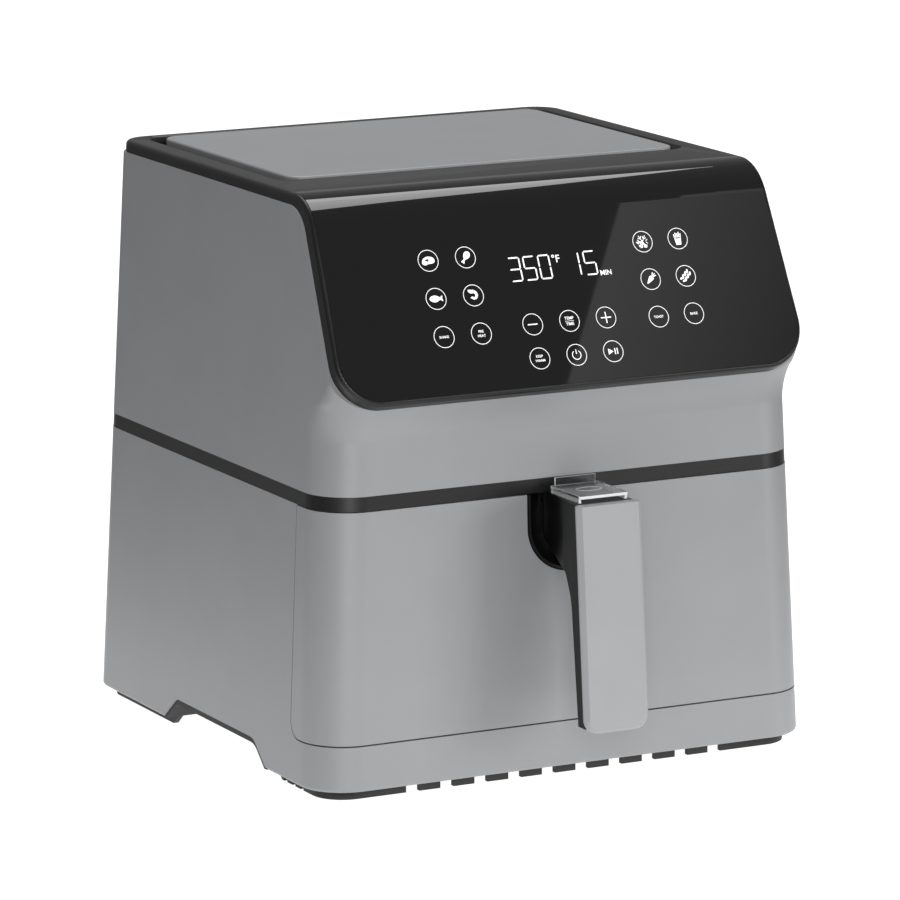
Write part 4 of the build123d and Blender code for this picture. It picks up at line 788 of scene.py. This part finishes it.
# %% [markdown]
# Inside the rings are small pictures and words. A picture is a list of closed outlines; an outline
# inside another is a hole. A line of even width becomes an outline too, so one routine fills them all.

# %% Outlines
def rounded(points, passes=2):
    """Cuts every corner of a closed outline, so that it reads as a curve."""
    for _ in range(passes):
        cut = []
        for i, (x, y) in enumerate(points):
            nx, ny = points[(i + 1) % len(points)]
            cut += [(0.75 * x + 0.25 * nx, 0.75 * y + 0.25 * ny),
                    (0.25 * x + 0.75 * nx, 0.25 * y + 0.75 * ny)]
        points = cut
    return points


def turned(points, degrees, scale=1.0):
    c, s = cos(radians(degrees)) * scale, sin(radians(degrees)) * scale
    return [(c * x - s * y, s * x + c * y) for x, y in points]


def arc(radius, start, end, steps=24):
    """Points from one angle to another, in degrees."""
    return [(radius * cos(radians(start + (end - start) * i / steps)),
             radius * sin(radians(start + (end - start) * i / steps))) for i in range(steps + 1)]


LEAST_MITRE = 0.4


def line(points, width):
    """The outline of an open line of even width, with mitred corners."""
    left, right = [], []
    for i, (x, y) in enumerate(points):
        before = Vector(points[i]) - Vector(points[i - 1]) if i else None
        after = Vector(points[i + 1]) - Vector((x, y)) if i + 1 < len(points) else None
        ways = [way.normalized() for way in (before, after) if way is not None]
        way = sum(ways, Vector((0, 0))).normalized()
        reach = width / 2 / max(way.dot(ways[0]), LEAST_MITRE)
        side = Vector((-way.y, way.x)) * reach
        left.append((x + side.x, y + side.y))
        right.append((x - side.x, y - side.y))
    return left + right[::-1]


def slice_of_ring(inner, outer, start, end):
    return arc(outer, start, end, 6) + arc(inner, end, start, 6)


# %% [markdown]
# The pictures are foods, signs and a snowflake, drawn in millimetres from the middle of their ring.

# %% Pictures
steak = [rounded([(-3.9, -0.8), (-3.2, 0.9), (-1.4, 2.1), (1.0, 2.3), (3.1, 1.5), (3.9, 0.0), (3.4, -1.3),
                  (1.6, -1.8), (-0.4, -1.8), (-1.8, -2.5), (-3.4, -2.1)]),
         [(-2.6, -0.4), (-1.2, 0.8), (0.6, 0.9), (-0.1, 0.2), (1.4, -0.2), (-0.6, -0.5), (-1.2, 0.0)]]
drumstick = [turned(rounded([(-3.9, 0.3), (-4.4, 0.9), (-3.7, 1.3), (-3.0, 0.7), (-1.3, 0.5), (-0.4, 1.4),
                             (1.2, 2.2), (3.1, 2.0), (4.2, 0.7), (4.2, -0.8), (3.0, -2.0), (1.1, -2.1),
                             (-0.5, -1.3), (-1.3, -0.5), (-3.0, -0.6), (-3.6, -1.2), (-4.4, -0.8),
                             (-3.9, -0.2)]), 52, 0.88)]
fish = [rounded([(-4.1, 0.0), (-2.9, 1.4), (-0.8, 2.0), (1.2, 1.4), (2.2, 0.5), (4.1, 1.9), (3.5, 0.0),
                 (4.1, -1.9), (2.2, -0.5), (1.2, -1.4), (-0.8, -2.0), (-2.9, -1.4)], 1),
        [(x - 2.3, y + 0.4) for x, y in arc(0.35, 0, 330, 11)]]
shrimp = [slice_of_ring(1.3 - 0.08 * i, 3.1 - 0.20 * i, 118 - 46 * i, 78 - 46 * i) for i in range(6)]
shrimp.append([(-2.9, 3.2), (-0.9, 3.3), (-1.6, 1.3), (-2.6, 2.0)])
snowflake = [turned(line([(0.35, 0), (3.9, 0)], 0.42), 60 * i) for i in range(6)]
for i in range(6):
    for side in (-1, 1):
        snowflake.append(turned(line([(2.0, side * 0.3), (3.0, side * 1.2)], 0.4), 60 * i))
fries = [[(-2.0, 0.5), (-1.1, 0.1), (0.0, 0.0), (1.1, 0.1), (2.0, 0.5), (1.5, -3.5), (-1.5, -3.5)]]
fries += [line([(x, 0.6), (x * 1.2, top)], 0.6) for x, top in
          ((-1.7, 2.6), (-0.85, 3.4), (0.0, 3.0), (0.85, 3.6), (1.7, 2.8))]
carrot = [turned(rounded([(-4.0, 0.0), (-1.0, 1.0), (1.4, 1.5), (1.9, 0.6), (1.9, -0.6), (1.4, -1.5),
                          (-1.0, -1.0)], 1), 45),
          turned(line([(2.2, 0.5), (3.9, 1.2)], 0.5), 45), turned(line([(2.2, 0.0), (4.3, 0.0)], 0.5), 45),
          turned(line([(2.2, -0.5), (3.9, -1.2)], 0.5), 45)]
strip = [(-3.6 + 0.45 * i, 0.42 * sin(1.3 * i)) for i in range(17)]
bacon = [turned(line([(x, y + lift) for x, y in strip], 1.0), 45) for lift in (-1.0, 1.0)]
minus = [line([(-2.9, 0), (2.9, 0)], 0.62)]
plus = [[(-3.1, -0.31), (-0.31, -0.31), (-0.31, -3.1), (0.31, -3.1), (0.31, -0.31), (3.1, -0.31), (3.1, 0.31),
         (0.31, 0.31), (0.31, 3.1), (-0.31, 3.1), (-0.31, 0.31), (-3.1, 0.31)]]
power = [line(arc(2.5, 125, 415), 0.45), line([(0, 0.5), (0, 3.0)], 0.45)]
play_pause = [[(-2.9, 1.7), (-2.9, -1.7), (0.1, 0.0)], line([(1.1, -1.7), (1.1, 1.7)], 0.6),
              line([(2.5, -1.7), (2.5, 1.7)], 0.6)]
divider = [line([(-2.6, 0), (2.6, 0)], 0.22)]

# %% [markdown]
# The numbers are seven-segment digits: each segment is a bar with pointed ends, and a digit is the set
# of bars that it lights.

# %% Digits
DIGIT_HEIGHT, DIGIT_WIDTH, BAR, BAR_GAP = 13.6, 7.2, 0.8, 0.35
LIT = {"0": "abcdef", "1": "bc", "3": "abcdg", "5": "acdfg"}


def bar(x, y, length, upright):
    half, thick = length / 2, BAR / 2
    shape = [(-half, 0), (-half + thick, thick), (half - thick, thick), (half, 0), (half - thick, -thick),
             (-half + thick, -thick)]
    return [(x + v, y + u) if upright else (x + u, y + v) for u, v in shape]


def digit(figure, x, y):
    """Bars a to g: top, upper right, lower right, bottom, lower left, upper left, middle."""
    across, tall = DIGIT_WIDTH - BAR, (DIGIT_HEIGHT - BAR) / 2
    bars = {"a": (0, tall, across, False), "b": (across / 2, tall / 2, tall, True),
            "c": (across / 2, -tall / 2, tall, True), "d": (0, -tall, across, False),
            "e": (-across / 2, -tall / 2, tall, True), "f": (-across / 2, tall / 2, tall, True),
            "g": (0, 0, across, False)}
    return [bar(x + bars[s][0], y + bars[s][1], bars[s][2] - BAR_GAP, bars[s][3]) for s in LIT[figure]]


# %% [markdown]
# Outlines and words are filled, given the ink's thickness, laid on the glass and gathered in one mesh.

# %% Lay the marks on the glass
CAPITAL_SHARE, BOLDER = 0.72, 0.02
marks = bmesh.new()


def flat_mesh(data):
    """A filled curve or a word as a mesh, freed of its holder."""
    data.extrude = INK_THICKNESS * MM / 2
    holder = bpy.data.objects.new("flat", data)
    bpy.context.scene.collection.objects.link(holder)
    mesh = bpy.data.meshes.new_from_object(holder.evaluated_get(bpy.context.evaluated_depsgraph_get()))
    bpy.data.objects.remove(holder)
    return mesh


def lay(mesh, x, y):
    mesh.transform(ON_PANEL @ Matrix.Translation((x * MM, y * MM, (INK_GAP + INK_THICKNESS / 2) * MM)))
    marks.from_mesh(mesh)


def draw(outlines, x, y):
    data = bpy.data.curves.new("outline", "CURVE")
    data.dimensions = "2D"
    data.fill_mode = "BOTH"
    for points in outlines:
        spline = data.splines.new("POLY")
        spline.points.add(len(points) - 1)
        for point, (u, v) in zip(spline.points, points):
            point.co = (u * MM, v * MM, 0, 1)
        spline.use_cyclic_u = True
    lay(flat_mesh(data), x, y)


def write(word, x, y, height, start=False):
    """A word in capitals of this height, centred on x or starting there, and centred on y."""
    data = bpy.data.curves.new(word, "FONT")
    data.body = word
    data.size = height * MM / CAPITAL_SHARE
    data.offset = BOLDER * height * MM
    mesh = flat_mesh(data)
    xs = [v.co.x for v in mesh.vertices]
    ys = [v.co.y for v in mesh.vertices]
    scale = height * MM / (max(ys) - min(ys))
    middle_x = min(xs) if start else (min(xs) + max(xs)) / 2
    mesh.transform(Matrix.Diagonal((scale, scale, 1, 1)) @ Matrix.Translation(
        (-middle_x, -(min(ys) + max(ys)) / 2, 0)))
    lay(mesh, x, y)


for picture, x, y in ((steak, LEFT_X[0], SIDE_ROWS[0]), (drumstick, LEFT_X[1], SIDE_ROWS[0]),
                      (fish, LEFT_X[0], SIDE_ROWS[1]), (shrimp, LEFT_X[1], SIDE_ROWS[1]),
                      (snowflake, RIGHT_X[0], SIDE_ROWS[0]), (fries, RIGHT_X[1], SIDE_ROWS[0]),
                      (carrot, RIGHT_X[0], SIDE_ROWS[1]), (bacon, RIGHT_X[1], SIDE_ROWS[1]),
                      (minus, MIDDLE_X[0], UPPER_ROW), (divider, MIDDLE_X[1], UPPER_ROW),
                      (plus, MIDDLE_X[2], UPPER_ROW), (power, MIDDLE_X[1], LOWER_ROW),
                      (play_pause, MIDDLE_X[2], LOWER_ROW)):
    draw(picture, x, y)
SMALL, DIGITS_Y, MARK_WELD = 1.35, 66.9, 0.0004
write("SHAKE", LEFT_X[0], SIDE_ROWS[2], SMALL)
for word, lift in (("PRE", 1.2), ("HEAT", -1.2)):
    write(word, LEFT_X[1], SIDE_ROWS[2] + lift, SMALL)
write("TOAST", RIGHT_X[0], SIDE_ROWS[2], SMALL)
write("BAKE", RIGHT_X[1], SIDE_ROWS[2], SMALL)
for word, lift in (("TEMP", 1.6), ("TIME", -1.6)):
    write(word, MIDDLE_X[1], UPPER_ROW + lift, 1.6)
for word, lift in (("KEEP", 1.2), ("WARM", -1.2)):
    write(word, MIDDLE_X[0], LOWER_ROW + lift, SMALL)
for figure, x in (("3", -25.4), ("5", -16.5), ("0", -7.6), ("1", 9.9), ("5", 19.6)):
    draw(digit(figure, x, DIGITS_Y), 0, 0)
write("°F", -2.6, 71.0, 4.3, start=True)
write("MIN", 24.4, 60.9, 2.8, start=True)

bmesh.ops.remove_doubles(marks, verts=marks.verts, dist=MARK_WELD * MM)
bmesh.ops.recalc_face_normals(marks, faces=marks.faces)
marks_mesh = bpy.data.meshes.new("panel_marks")
marks.to_mesh(marks_mesh)
marks.free()
add_piece("panel_marks", marks_mesh, PRINT_WHITE, BODY_OF["control_glass"])
print("panel marks:", len(marks_mesh.polygons), "faces")
